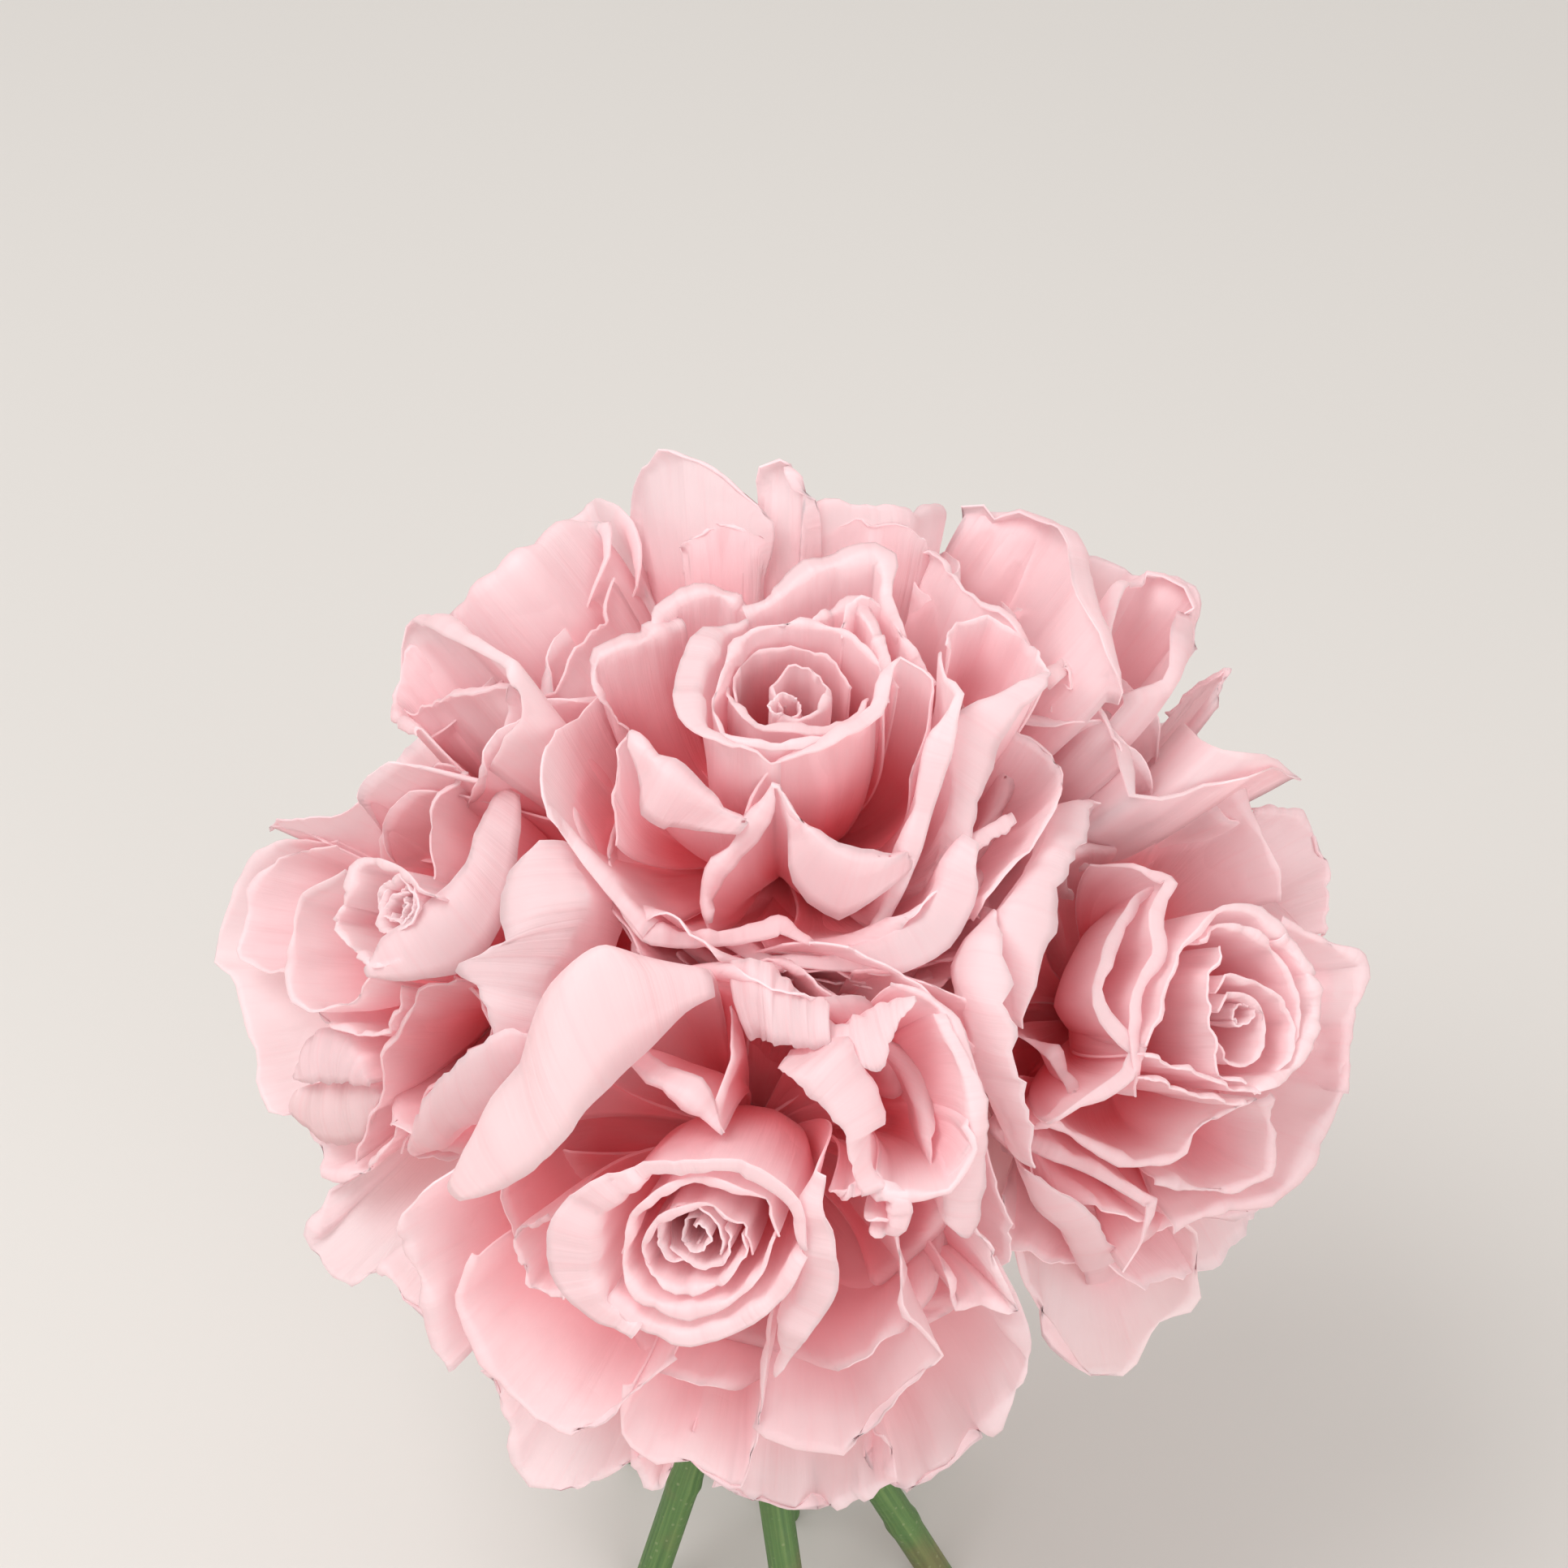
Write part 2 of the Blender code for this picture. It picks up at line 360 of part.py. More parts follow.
def build_walls():
    """A wall between each pair of neighbours, halfway between their bases and between their cups."""
    pairs = [("top", name) for name in RING] + list(zip(RING, RING[1:] + RING[:1]))
    for k, (one, other) in enumerate(pairs):
        a, b = ROSES[one], ROSES[other]
        low, high = (a["base"] + b["base"]) / 2, (a["top"] + b["top"]) / 2
        along = (high - low) / np.linalg.norm(high - low)
        apart = (b["top"] - a["top"]) + (b["base"] - a["base"])
        normal = apart - apart @ along * along
        normal /= np.linalg.norm(normal)
        across = np.cross(normal, along)
        a["walls"].append((high, normal, across, 1, k))
        b["walls"].append((high, -normal, across, -1, k))


def beyond_wall(points, wall):
    """How far points lie beyond a rose's waved wall, in millimetres."""
    middle, normal, across, side, k = wall
    wave = side * WALL_WAVE * np.sin((points - middle) @ across * 2 * math.pi / WALL_WAVE_LENGTH + 1.7 * k)
    return (points - middle) @ normal - wave


def squeeze(points, rose, layer):
    """Presses whatever nears a wall smoothly back from it, the inner layers further than the outer ones."""
    q = points.copy()
    gap = WALL_GAP + rose["step"] * layer
    reach = gap + WALL_REACH
    for wall in rose["walls"]:
        d = beyond_wall(q, wall)
        pressed = -gap - WALL_REACH * np.exp(-(np.maximum(d, -reach) + reach) / WALL_REACH)
        q = q + (np.where(d > -reach, pressed, d) - d)[..., None] * wall[1]
    return q


def fitted(how, rose):
    """A whorl petal made smaller until its tip clears the walls, or None where hardly any room is left."""
    a = math.radians(how["turn"])
    for size in np.arange(1, 0.35, -0.05):
        r, z = how["spine"][-1]
        tip = rose["frame"] @ np.array([size * r * math.cos(a), size * r * math.sin(a), z]) + rose["base"]
        if max(float(beyond_wall(tip, wall)) for wall in rose["walls"]) < TIP_CROSSING:
            steps = len(how["spine"]) - 1
            spine = [(radius * (1 + (size - 1) * k / steps), height)
                     for k, (radius, height) in enumerate(how["spine"])]
            return {**how, "spine": spine, "width": how["width"] * (1 + size) / 2}
    return None


def measured(rose, point, from_centre):
    """A measured point in the rose's own frame: where the view's ray meets its height or its distance."""
    x, y, depth = point[:3]
    ray = FORWARD + np.array([1, 0, 0]) * (x - VIEW_SIDE / 2) / FOCAL + UPWARD * (VIEW_SIDE / 2 - y) / FOCAL
    ray /= np.linalg.norm(ray)
    if from_centre:
        near = -(EYE @ ray)
        far = near - math.sqrt(max(0.0, depth ** 2 - (EYE @ EYE - near ** 2)))
    else:
        axis = rose["direction"]
        far = ((rose["base"] + depth * axis - EYE) @ axis) / (ray @ axis)
    return (EYE + far * ray - rose["base"]) @ rose["frame"]


def ring(radius, angle, height):
    return np.stack([radius * np.cos(angle), radius * np.sin(angle), height], -1)


def along_line(points, count):
    """Evenly spaced places on the straight runs between points."""
    steps = np.concatenate([[0], np.cumsum(np.linalg.norm(np.diff(points, axis=0), axis=1))])
    return np.stack([np.interp(np.linspace(0, steps[-1], count), steps, column) for column in points.T], 1)


def rim_petal(foot, placed, fold, free, belly, inward, rows=3):
    """A blade from a height on the core to a measured rim, with a folded margin where the rim says so."""
    if len(free):
        placed = along_line(placed, len(free))
    radius = np.hypot(placed[:, 0], placed[:, 1])
    angle = np.unwrap(np.arctan2(placed[:, 1], placed[:, 0]))
    height = np.maximum(placed[:, 2], 6.0)
    full = belly if belly is not None else np.interp(radius / height, (0.4, 1.4), (0.95, 0.5))
    middle = angle.mean()
    rise = height - foot
    p0 = ring(PETAL_FOOT + 0 * radius, middle + (angle - middle) * 0.7, 0 * height + foot)
    p1 = ring(full * radius, middle + (angle - middle) * 0.85, foot + 0.06 * rise)
    p2 = ring((0.25 * full + 0.75) * radius, angle, foot + 0.55 * rise)
    v = np.linspace(0, 1, rows + 1)[:, None, None]
    body = (1 - v) ** 3 * p0 + 3 * (1 - v) ** 2 * v * p1 + 3 * (1 - v) * v ** 2 * p2 + v ** 3 * placed
    if len(free):
        away = along_line(free, len(free)) - placed
        width = np.linalg.norm(away, axis=1)[:, None]
        return np.concatenate([body, (placed + away / width * np.maximum(width, LEAST_FOLD))[None]], 0)
    if fold.max() < LEAST_FOLD:
        return body
    edge = np.gradient(placed, axis=0)
    edge /= np.linalg.norm(edge, axis=1)[:, None]
    rise = placed - p2
    rise /= np.linalg.norm(rise, axis=1)[:, None]
    outward = np.cross(edge, rise)
    outward /= np.linalg.norm(outward, axis=1)[:, None]
    if inward:
        outward = -outward
    margin = placed + np.maximum(fold, 0.8)[:, None] * (outward * 0.85 - rise * 0.2)
    return np.concatenate([body, margin[None]], 0)


def spine_curve(points, samples=60):
    """Catmull-Rom through (radius, height) points, sampled by arc length, and run straight past the tip."""
    p = np.array(points, float)
    p = np.vstack([2 * p[0] - p[1], p, 2 * p[-1] - p[-2]])
    t = np.linspace(0, 1, 20, endpoint=False)[:, None]
    parts = []
    for a, b, c, d in zip(p, p[1:], p[2:], p[3:]):
        parts.append(0.5 * (2 * b + (c - a) * t + (2 * a - 5 * b + 4 * c - d) * t ** 2
                            + (3 * b - a - 3 * c + d) * t ** 3))
    curve = np.vstack(parts + [p[-2][None]])
    s = np.concatenate([[0], np.cumsum(np.linalg.norm(np.diff(curve, axis=0), axis=1))])
    length = s[-1]
    q = np.linspace(0, length, samples)
    r, z = np.interp(q, s, curve[:, 0]), np.interp(q, s, curve[:, 1])
    lean = np.unwrap(np.arctan2(np.gradient(r), np.gradient(z)))
    return q, r, z, lean, length


def whorl_petal(foot, turn, spine, width, hug, yaw, columns=3, rows=3):
    """A rounded blade that follows its spine and hugs the rose's axis."""
    spine = [(spine[0][0], max(spine[0][1], foot))] + [(r, max(z, foot + 0.06 * r)) for r, z in spine[1:]]
    u = np.linspace(-1, 1, columns + 1)[None, :]
    v = np.linspace(0, 1, rows + 1)[:, None]
    q, r, z, lean, length = spine_curve(spine)
    grow = 0.22 + 0.78 * smooth(0, 0.68, v)
    x = u * width * grow * (1 - 0.22 * smooth(0.68, 1, v))
    y = length * (v - 0.22 * np.abs(u) ** 2.6 * smooth(0.35, 1, v))
    radius, height, tilt = (np.interp(y, q, values) for values in (r, z, lean))
    bend = np.interp(y / length, (0, 1), hug) / np.maximum(radius, 4)
    angle = bend * x
    inward = (1 - np.cos(angle)) / bend - math.sin(math.radians(yaw)) * x
    aside = np.sin(angle) / bend * math.cos(math.radians(yaw))
    out = radius - inward * np.cos(tilt)
    a = math.radians(turn)
    return np.stack([out * math.cos(a) - aside * math.sin(a), out * math.sin(a) + aside * math.cos(a),
                     height + inward * np.sin(tilt)], -1)


def spread(groups, seed, size=1.0):
    """The petals of some whorls, each turned, widened and raised a little at random."""
    chance = np.random.default_rng(seed)
    petals = []
    for group in groups:
        for k in range(group["n"]):
            turn = group["first"] + 360 * k / group["n"] + chance.uniform(-8, 8)
            wider = chance.uniform(-0.05, 0.05)
            taller = chance.uniform(-1.5, 1.5)
            steps = len(group["spine"]) - 1
            spine = [(r * size * (1 + wider * i / steps), z + taller * i / steps)
                     for i, (r, z) in enumerate(group["spine"])]
            petals.append(dict(turn=turn, spine=spine, width=group["width"] * size, hug=group["hug"],
                               yaw=group["yaw"] + chance.uniform(-2, 2)))
    return petals


def grid_normals(grid):
    n = np.cross(np.gradient(grid, axis=1), np.gradient(grid, axis=0))
    return n / np.maximum(np.linalg.norm(n, axis=-1, keepdims=True), 1e-9)


def slab(grid, thickness):
    """Vertices and triangles of a closed blade of even thickness, split alike on both faces."""
    rows, columns = grid.shape[:2]
    shift = grid_normals(grid) * thickness / 2
    vertices = np.concatenate([(grid + shift).reshape(-1, 3), (grid - shift).reshape(-1, 3)])
    back = rows * columns
    k = np.arange(back).reshape(rows, columns)
    a, b, c, d = (part.reshape(-1) for part in (k[:-1, :-1], k[:-1, 1:], k[1:, 1:], k[1:, :-1]))
    front = np.concatenate([np.stack([a, b, c], 1), np.stack([a, c, d], 1)])
    border = np.concatenate([k[0, :-1], k[:-1, -1], k[-1, :0:-1], k[:0:-1, 0]])
    after = np.roll(border, -1)
    edge = np.concatenate([np.stack([after, border, border + back], 1),
                           np.stack([after, border + back, after + back], 1)])
    return vertices, np.concatenate([front, front[:, ::-1] + back, edge])


def add_mesh(name, vertices, faces):
    """A mesh object from points in millimetres about the dome's centre."""
    mesh = bpy.data.meshes.new(name)
    mesh.from_pydata((vertices * MM).tolist(), [], [list(face) for face in faces])
    mesh.update()
    thing = bpy.data.objects.new(name, mesh)
    bpy.context.scene.collection.objects.link(thing)
    return thing


def lathe(profile, sides, frame, base):
    """Vertices and faces of a closed turned solid from (radius, height) points, bottom first."""
    turns = np.arange(sides) * 2 * math.pi / sides
    rings = np.concatenate([ring(r + 0 * turns, turns, z + 0 * turns) for r, z in profile])
    faces = []
    for k in range(len(profile) - 1):
        for i in range(sides):
            j = (i + 1) % sides
            faces.append([k * sides + i, k * sides + j, (k + 1) * sides + j, (k + 1) * sides + i])
    faces.append(list(range(sides))[::-1])
    faces.append([(len(profile) - 1) * sides + i for i in range(sides)])
    return rings @ frame.T + base, faces


def keep_largest_shell(mesh):
    """Fills the hollows that crossing blades seal off and drops loose scraps, by leaving one shell."""
    work = bmesh.new()
    work.from_mesh(mesh)
    left = set(work.faces)
    shells = []
    while left:
        start = left.pop()
        shell, ahead = [start], [start]
        while ahead:
            for edge in ahead.pop().edges:
                for face in edge.link_faces:
                    if face in left:
                        left.remove(face)
                        shell.append(face)
                        ahead.append(face)
        shells.append(shell)
    largest = max(shells, key=lambda shell: sum(face.calc_area() for face in shell))
    for shell in shells:
        if shell is not largest:
            bmesh.ops.delete(work, geom=shell, context="FACES")
    bmesh.ops.delete(work, geom=[v for v in work.verts if not v.link_faces], context="VERTS")
    work.to_mesh(mesh)
    work.free()


def split_faces(mesh):
    """Splits faces into triangles; one whose diagonals would repeat an edge is split from its middle."""
    work = bmesh.new()
    work.from_mesh(mesh)
    work.faces.ensure_lookup_table()
    trial = work.copy()
    origin = bmesh.ops.triangulate(trial, faces=trial.faces)["face_map"]
    crowded = {origin.get(face, face).index for edge in trial.edges if len(edge.link_faces) > 2
               for face in edge.link_faces}
    trial.free()
    bmesh.ops.poke(work, faces=[face for face in work.faces if face.index in crowded and len(face.verts) > 3])
    bmesh.ops.triangulate(work, faces=work.faces)
    work.to_mesh(mesh)
    work.free()


def simplify(thing, triangles):
    """Collapses the slivers that crossing blades leave, to a count near the wish that stays closed."""
    whole = thing.data
    split_faces(whole)
    for wish in range(triangles, 2 * triangles, 20):
        thing.data = whole.copy()
        thinner = thing.modifiers.new("simplify", "DECIMATE")
        thinner.ratio = wish / len(whole.polygons)
        thinner.use_collapse_triangulate = True
        bpy.context.view_layer.objects.active = thing
        bpy.ops.object.modifier_apply(modifier=thinner.name)
        keep_largest_shell(thing.data)
        if is_closed(thing.data):
            return


def is_closed(mesh):
    """Whether each edge joins exactly two faces and no vertex joins two fans of faces."""
    work = bmesh.new()
    work.from_mesh(mesh)
    closed = all(edge.is_manifold for edge in work.edges) and all(vertex.is_manifold for vertex in work.verts)
    work.free()
    return closed


def join(name, pieces):
    """Fuses overlapping closed pieces into the first one."""
    first, rest = pieces[0], pieces[1:]
    group = bpy.data.collections.new(name + "_pieces")
    bpy.context.scene.collection.children.link(group)
    for piece in rest:
        bpy.context.scene.collection.objects.unlink(piece)
        group.objects.link(piece)
    union = first.modifiers.new("join", "BOOLEAN")
    union.operation = "UNION"
    union.solver = "MANIFOLD"
    union.operand_type = "COLLECTION"
    union.collection = group
    bpy.context.view_layer.objects.active = first
    bpy.ops.object.modifier_apply(modifier=union.name)
    for piece in rest:
        bpy.data.objects.remove(piece)
    bpy.data.collections.remove(group)
    keep_largest_shell(first.data)
    first.name = name
    first.data.name = name
    return first


def build_bloom(name, rose):
    """All of one rose's petals and the core that holds them, as one solid."""
    wide = max(CORE_RADIUS * rose["bud"], NECK_RADIUS)
    profile = [(NECK_RADIUS, CORE_BOTTOM), (0.7 * wide, 1.0), (0.92 * wide, 6.0), (wide, 12.0),
               (0.92 * wide, 17.0), (0.6 * wide, 20.5), (0.2 * wide, CORE_TOP)]
    pieces = [add_mesh("core", *lathe(profile, CORE_SIDES, rose["frame"], rose["base"]))]
    outer = BACK + GUARD if name.startswith("back") else (FILL if name == "top" else FILL + GUARD)
    bud = BUD if name in ("top", "front", "right") else BUD[1:]
    whorls = [fitted(how, rose) for how in spread(outer, rose["seed"])]
    whorls = [how for how in whorls if how] + spread(bud, rose["seed"], rose["bud"])
    petals = [(whorl_petal, how["spine"][-1][0] / how["spine"][-1][1], how) for how in whorls]
    for how in PETALS[name]:
        placed = np.array([measured(rose, p, how["from_centre"]) for p in how["points"]])
        free = np.array([measured(rose, p, how["from_centre"]) for p in how["free"]])
        fold = np.array([p[3] if len(p) > 3 else how["lip"] for p in how["points"]])
        opening = np.hypot(placed[:, 0], placed[:, 1]).mean() / placed[:, 2].mean()
        petals.append((rim_petal, opening,
                       dict(placed=placed, fold=fold, free=free, belly=how["belly"], inward=how["inward"])))
    petals.sort(key=lambda petal: -petal[1])
    for layer, (build, opening, how) in enumerate(petals):
        foot = FOOT_LOWEST + (FOOT_HIGHEST - FOOT_LOWEST) * layer / (len(petals) - 1)
        grid = squeeze(build(foot, **how) @ rose["frame"].T + rose["base"], rose, layer)
        pieces.append(add_mesh("petal", *slab(grid, PETAL_THICKNESS)))
    bloom = join(f"rose_{name}_bloom", pieces)
    simplify(bloom, rose["triangles"])
    bloom.data.name = bloom.name
    return bloom


def stem_path(name, rose):
    """Points and radii from under the bloom, through the hip and the waist, to the cut end."""
    axis = rose["direction"]
    top = rose["base"] + (CORE_BOTTOM - HIP_GAP) * axis
    points = [top - depth * axis for radius, depth in HIP]
    radii = [radius for radius, depth in HIP]
    if name == "top":
        waist, foot = np.array([0, 0, -WAIST_DEPTH]), np.array([0, 0, -DOME_HEIGHT])
    else:
        turn, end = math.radians(SLOTS[name] + SPIRAL_TURN), math.radians(SLOTS[name] + 2 * SPIRAL_TURN)
        waist = np.array([WAIST_RADIUS * math.cos(turn), WAIST_RADIUS * math.sin(turn), -WAIST_DEPTH])
        foot = np.array([FOOT_RADIUS * math.cos(end), FOOT_RADIUS * math.sin(end), -DOME_HEIGHT])
    leg = (foot - waist) / np.linalg.norm(foot - waist)
    start = points[-1]
    for t in np.linspace(0, 1, 7)[1:]:
        points.append((1 - t) ** 3 * start + 3 * (1 - t) ** 2 * t * (start - NECK_REACH * axis)
                      + 3 * (1 - t) * t ** 2 * (waist - WAIST_REACH * leg) + t ** 3 * waist)
        radii.append(STEM_RADIUS)
    return np.array(points + [foot]), np.array(radii + [STEM_RADIUS])


def tube(points, radii, sides):
    """Vertices and faces of a closed tube along points, its last ring cut level with the ground."""
    along = np.gradient(points, axis=0)
    along[-1] = points[-1] - points[-2]
    along /= np.linalg.norm(along, axis=1)[:, None]
    side = np.cross(along[0], [0.3, 0.9, 0.2])
    turns = np.arange(sides) * 2 * math.pi / sides
    rings = []
    for point, direction, radius in zip(points, along, radii):
        side = side - side @ direction * direction
        side /= np.linalg.norm(side)
        other = np.cross(direction, side)
        rings.append(point + radius * (np.cos(turns)[:, None] * side + np.sin(turns)[:, None] * other))
    level = (points[-1][2] - rings[-1][:, 2]) / along[-1][2]
    rings[-1] = rings[-1] + level[:, None] * along[-1]
    faces = []
    for k in range(len(rings) - 1):
        for i in range(sides):
            j = (i + 1) % sides
            faces.append([k * sides + i, k * sides + j, (k + 1) * sides + j, (k + 1) * sides + i])
    faces.append(list(range(sides))[::-1])
    faces.append([(len(rings) - 1) * sides + i for i in range(sides)])
    return np.concatenate(rings), faces


def sepal(turn):
    """A narrow pointed blade that bends back under the bloom, in the rose's own frame."""
    rows = []
    for (radius, height), width in zip(SEPAL, SEPAL_WIDTHS):
        row = np.array([[radius, -width, height - 0.12 * width], [radius, width, height - 0.12 * width]])
        rows.append(row)
    c, s = math.cos(turn), math.sin(turn)
    return np.array(rows) @ np.array([[c, s, 0], [-s, c, 0], [0, 0, 1]])


def build_stem(name, rose):
    """One rose's stem, hip and sepals, as one solid."""
    pieces = [add_mesh("stem", *tube(*stem_path(name, rose), STEM_SIDES))]
    for k in range(SEPALS):
        turn = math.radians(rose["seed"] * SEPAL_TURN) + 2 * math.pi * k / SEPALS
        grid = squeeze(sepal(turn) @ rose["frame"].T + rose["base"], rose, 0)
        pieces.append(add_mesh("sepal", *slab(grid, SEPAL_THICKNESS)))
    return join(f"rose_{name}_stem", pieces)


def build_tie():
    """Twine wound round the waist: a ribbed band whose bore follows the stems as they cross."""
    stems = [stem_path(name, ROSES[name])[0] for name in RING]

    def bore(height):
        """The stems' reach from the middle at a height below the dome's centre."""
        reach = []
        for path in stems:
            k = int(np.argmax(path[:, 2] <= height))
            above, below = path[k - 1], path[k]
            point = above + (below - above) * (height - above[2]) / (below[2] - above[2])
            reach.append(math.hypot(point[0], point[1]))
        return max(reach) + STEM_RADIUS * 1.12 + TIE_CLEARANCE

    low, high = -WAIST_DEPTH - TIE_HEIGHT / 2, -WAIST_DEPTH + TIE_HEIGHT / 2
    pitch = TIE_HEIGHT / TIE_TURNS
    widest = max(bore(low), bore(high))
    profile = [(widest, low), (widest, high)]
    for k in range(TIE_TURNS):
        crown = high - pitch * (k + 0.5)
        profile += [(widest + TIE_TWINE, crown + pitch / 2), (widest + 2 * TIE_TWINE, crown + pitch / 5),
                    (widest + 2 * TIE_TWINE, crown - pitch / 5)]
    profile.append((widest + TIE_TWINE, low))
    turns = np.arange(TIE_SIDES) * 2 * math.pi / TIE_SIDES
    rings = np.concatenate([ring(r + 0 * turns, turns, z + 0 * turns) for r, z in profile])
    faces = []
    for k in range(len(profile)):
        after = (k + 1) % len(profile)
        for i in range(TIE_SIDES):
            j = (i + 1) % TIE_SIDES
            faces.append([k * TIE_SIDES + i, after * TIE_SIDES + i, after * TIE_SIDES + j, k * TIE_SIDES + j])
    return add_mesh("tie", rings, faces)


def paint(thing, slot):
    """Gives a piece its material."""
    material = bpy.data.materials.get(slot)
    if material is None:
        colour, roughness = MATERIALS[slot]
        material = bpy.data.materials.new(slot)
        material.use_nodes = True
        shader = material.node_tree.nodes["Principled BSDF"]
        shader.inputs["Base Color"].default_value = (*colour, 1)
        shader.inputs["Roughness"].default_value = roughness
        shader.inputs["Metallic"].default_value = 0
    thing.data.materials.clear()
    thing.data.materials.append(material)


def place(thing, bouquet, frame=None, base=(0, 0, 0)):
    """Hangs a piece on the bouquet, with its origin at a base and its +Z along that base's axis."""
    where = Matrix(frame).to_4x4() if frame is not None else Matrix()
    where.translation = np.array(base) * MM
    thing.data.transform(where.inverted())
    thing.parent = bouquet
    thing.matrix_local = where


def main():
    for thing in list(bpy.data.objects):
        bpy.data.objects.remove(thing)
    place_roses()
    build_walls()
    bouquet = bpy.data.objects.new("bouquet", None)
    bpy.context.scene.collection.objects.link(bouquet)
    bouquet.location = (DOME_SHIFT * MM, 0, DOME_HEIGHT * MM)
    for name, rose in ROSES.items():
        bloom = build_bloom(name, rose)
        stem = build_stem(name, rose)
        stem.data.shade_smooth()
        stem.data.set_sharp_from_angle(angle=math.radians(SHARP_EDGE))
        for thing, slot in ((bloom, "petal"), (stem, "stem")):
            paint(thing, slot)
            place(thing, bouquet, rose["frame"], rose["base"])
    tie = build_tie()
    tie.data.shade_smooth()
    tie.data.set_sharp_from_angle(angle=math.radians(SHARP_EDGE))
    paint(tie, "twine")
    place(tie, bouquet)


main()
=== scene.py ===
"""Looks of the rose bouquet: seven open roses petal by petal, their stems and the twine that ties them.

Shapes are worked out in millimetres about the dome's centre, as in the solids that they stand for.
"""
import math
from functools import partial

import bpy
import numpy as np
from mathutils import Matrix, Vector

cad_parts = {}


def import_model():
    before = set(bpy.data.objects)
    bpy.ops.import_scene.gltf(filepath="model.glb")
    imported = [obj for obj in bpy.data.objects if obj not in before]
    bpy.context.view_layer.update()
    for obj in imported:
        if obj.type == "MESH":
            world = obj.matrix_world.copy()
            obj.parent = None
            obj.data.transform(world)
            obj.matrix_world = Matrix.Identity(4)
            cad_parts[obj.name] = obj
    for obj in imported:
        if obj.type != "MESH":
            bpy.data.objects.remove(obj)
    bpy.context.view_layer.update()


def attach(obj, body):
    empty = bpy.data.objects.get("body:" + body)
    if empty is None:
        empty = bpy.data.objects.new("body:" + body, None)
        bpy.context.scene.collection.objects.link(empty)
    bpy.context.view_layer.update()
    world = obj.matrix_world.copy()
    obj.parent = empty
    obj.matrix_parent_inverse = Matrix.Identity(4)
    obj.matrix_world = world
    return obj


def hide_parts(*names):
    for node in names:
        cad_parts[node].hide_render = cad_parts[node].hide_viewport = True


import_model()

# The head, as in the solids, in millimetres and degrees
MM = 0.001
DOME_HEIGHT = 150.0
DOME_SHIFT = 1.5
HEAD_DEPTH = 44.0
PETAL_FOOT = 3.5
FOOT_LOWEST = 0.5
FOOT_HIGHEST = 14.5
WALL_CROSSING = 3.5
WALL_REACH = 4.5
WALL_DEPTH = 3.0
TIP_CROSSING = 5.0
WALL_WAVE = 2.4
WALL_WAVE_LENGTH = 46.0

# Petals: how finely they are drawn, how thick they are at the foot and at the rim, the least height and
# margin of a measured one, and how far the sheet of a free edge bulges and how much of its crumples it has
COLUMNS = 30
ROWS = 20
LIP_ROWS = 5
THICK_FOOT = 0.55
THICK_RIM = 0.3
LEAST_HEIGHT = 6.0
LEAST_MARGIN = 0.5
FREE_BULGE = 0.12
FREE_CALM = 0.3

# A measured petal from its foot to its rim: how full it is by how far its rim opens, what share of the
# rim's angle its foot and its belly span, how high its belly and its shoulder lie, and how full the
# shoulder is
OPENING = (0.4, 1.4)
FULLNESS = (0.95, 0.5)
FOOT_SPAN = 0.7
BELLY_SPAN = 0.85
BELLY_RISE = 0.06
SHOULDER_RISE = 0.55
SHOULDER_FULL = 0.25

# A whorl petal: its width at the foot, where it is widest, how far it narrows to the tip, how round its
# tip is, how close to the axis it may bend, and the samples of its spine
WHORL_FOOT = 0.22
WHORL_WIDEST = 0.68
WHORL_NARROWS = 0.22
TIP_POWER = 2.6
TIP_START = 0.35
CLOSEST = 4
CLOSEST_INNER = 1.5
SPINE_SAMPLES = 160

# Between which distances from the dome's centre petals come out into the light, how much deeper in
# colour the hidden ones are painted as painted shade, how much petals differ in tone, and how much paler
# a fold is
OPEN_TO_LIGHT = (60.0, 86.0)
PAINTED_SHADE_DEPTH = 0.6
TONE_CHANCE = 0.12
FOLD_TONE = 0.1

# Stems, hips, sepals and the twine, as in the solids
STEM_RADIUS = 3.2
CORE_BOTTOM = -1.5
HIP_GAP = 0.35
HIP = ((5.4, 0.0), (6.2, 2.5), (5.6, 6.0), (3.9, 9.0), (3.2, 11.0))
SEPALS = 5
SEPAL = ((4.6, -4.2), (8.2, -4.6), (10.8, -7.5), (11.8, -11.5))
SEPAL_TURN = 13.0
SEPAL_DEPTH = 1.5
WAIST_DEPTH = 75.0
WAIST_RADIUS = 7.2
SLOTS = {"front": -115, "right": -55, "back_right": 5, "back": 65, "back_left": 125, "left": 185}
SPIRAL_TURN = 75.0
FOOT_RADIUS = 34.0
NECK_REACH = 3.0
WAIST_REACH = 40.0
TIE_HEIGHT = 11.0

# How finely they are drawn, the sepals' outline, keel and twist, and the nodes and cut ends
HIP_RINGS = 14
STEM_RINGS = 46
STEM_SIDES = 28
SEPAL_COLUMNS = 8
SEPAL_ROWS = 16
SEPAL_HALF = ((0, 0.35, 0.7, 1), (2.0, 2.5, 1.5, 0.15))
SEPAL_OVERRUN = 1.02
SEPAL_RAG = 0.16
SEPAL_CUP = 0.1
SEPAL_KEEL = 0.12
KEEL_WIDTH = 0.18
SEPAL_TWIST = 0.3
NODE_CLEAR = 12.0
NODE_HEIGHT = 0.4
NODE_LENGTH = 1.5
FIRST_NODE = (8.0, 16.0)
NODE_STEP = (26.0, 40.0)
CUT_BEVEL = 0.4

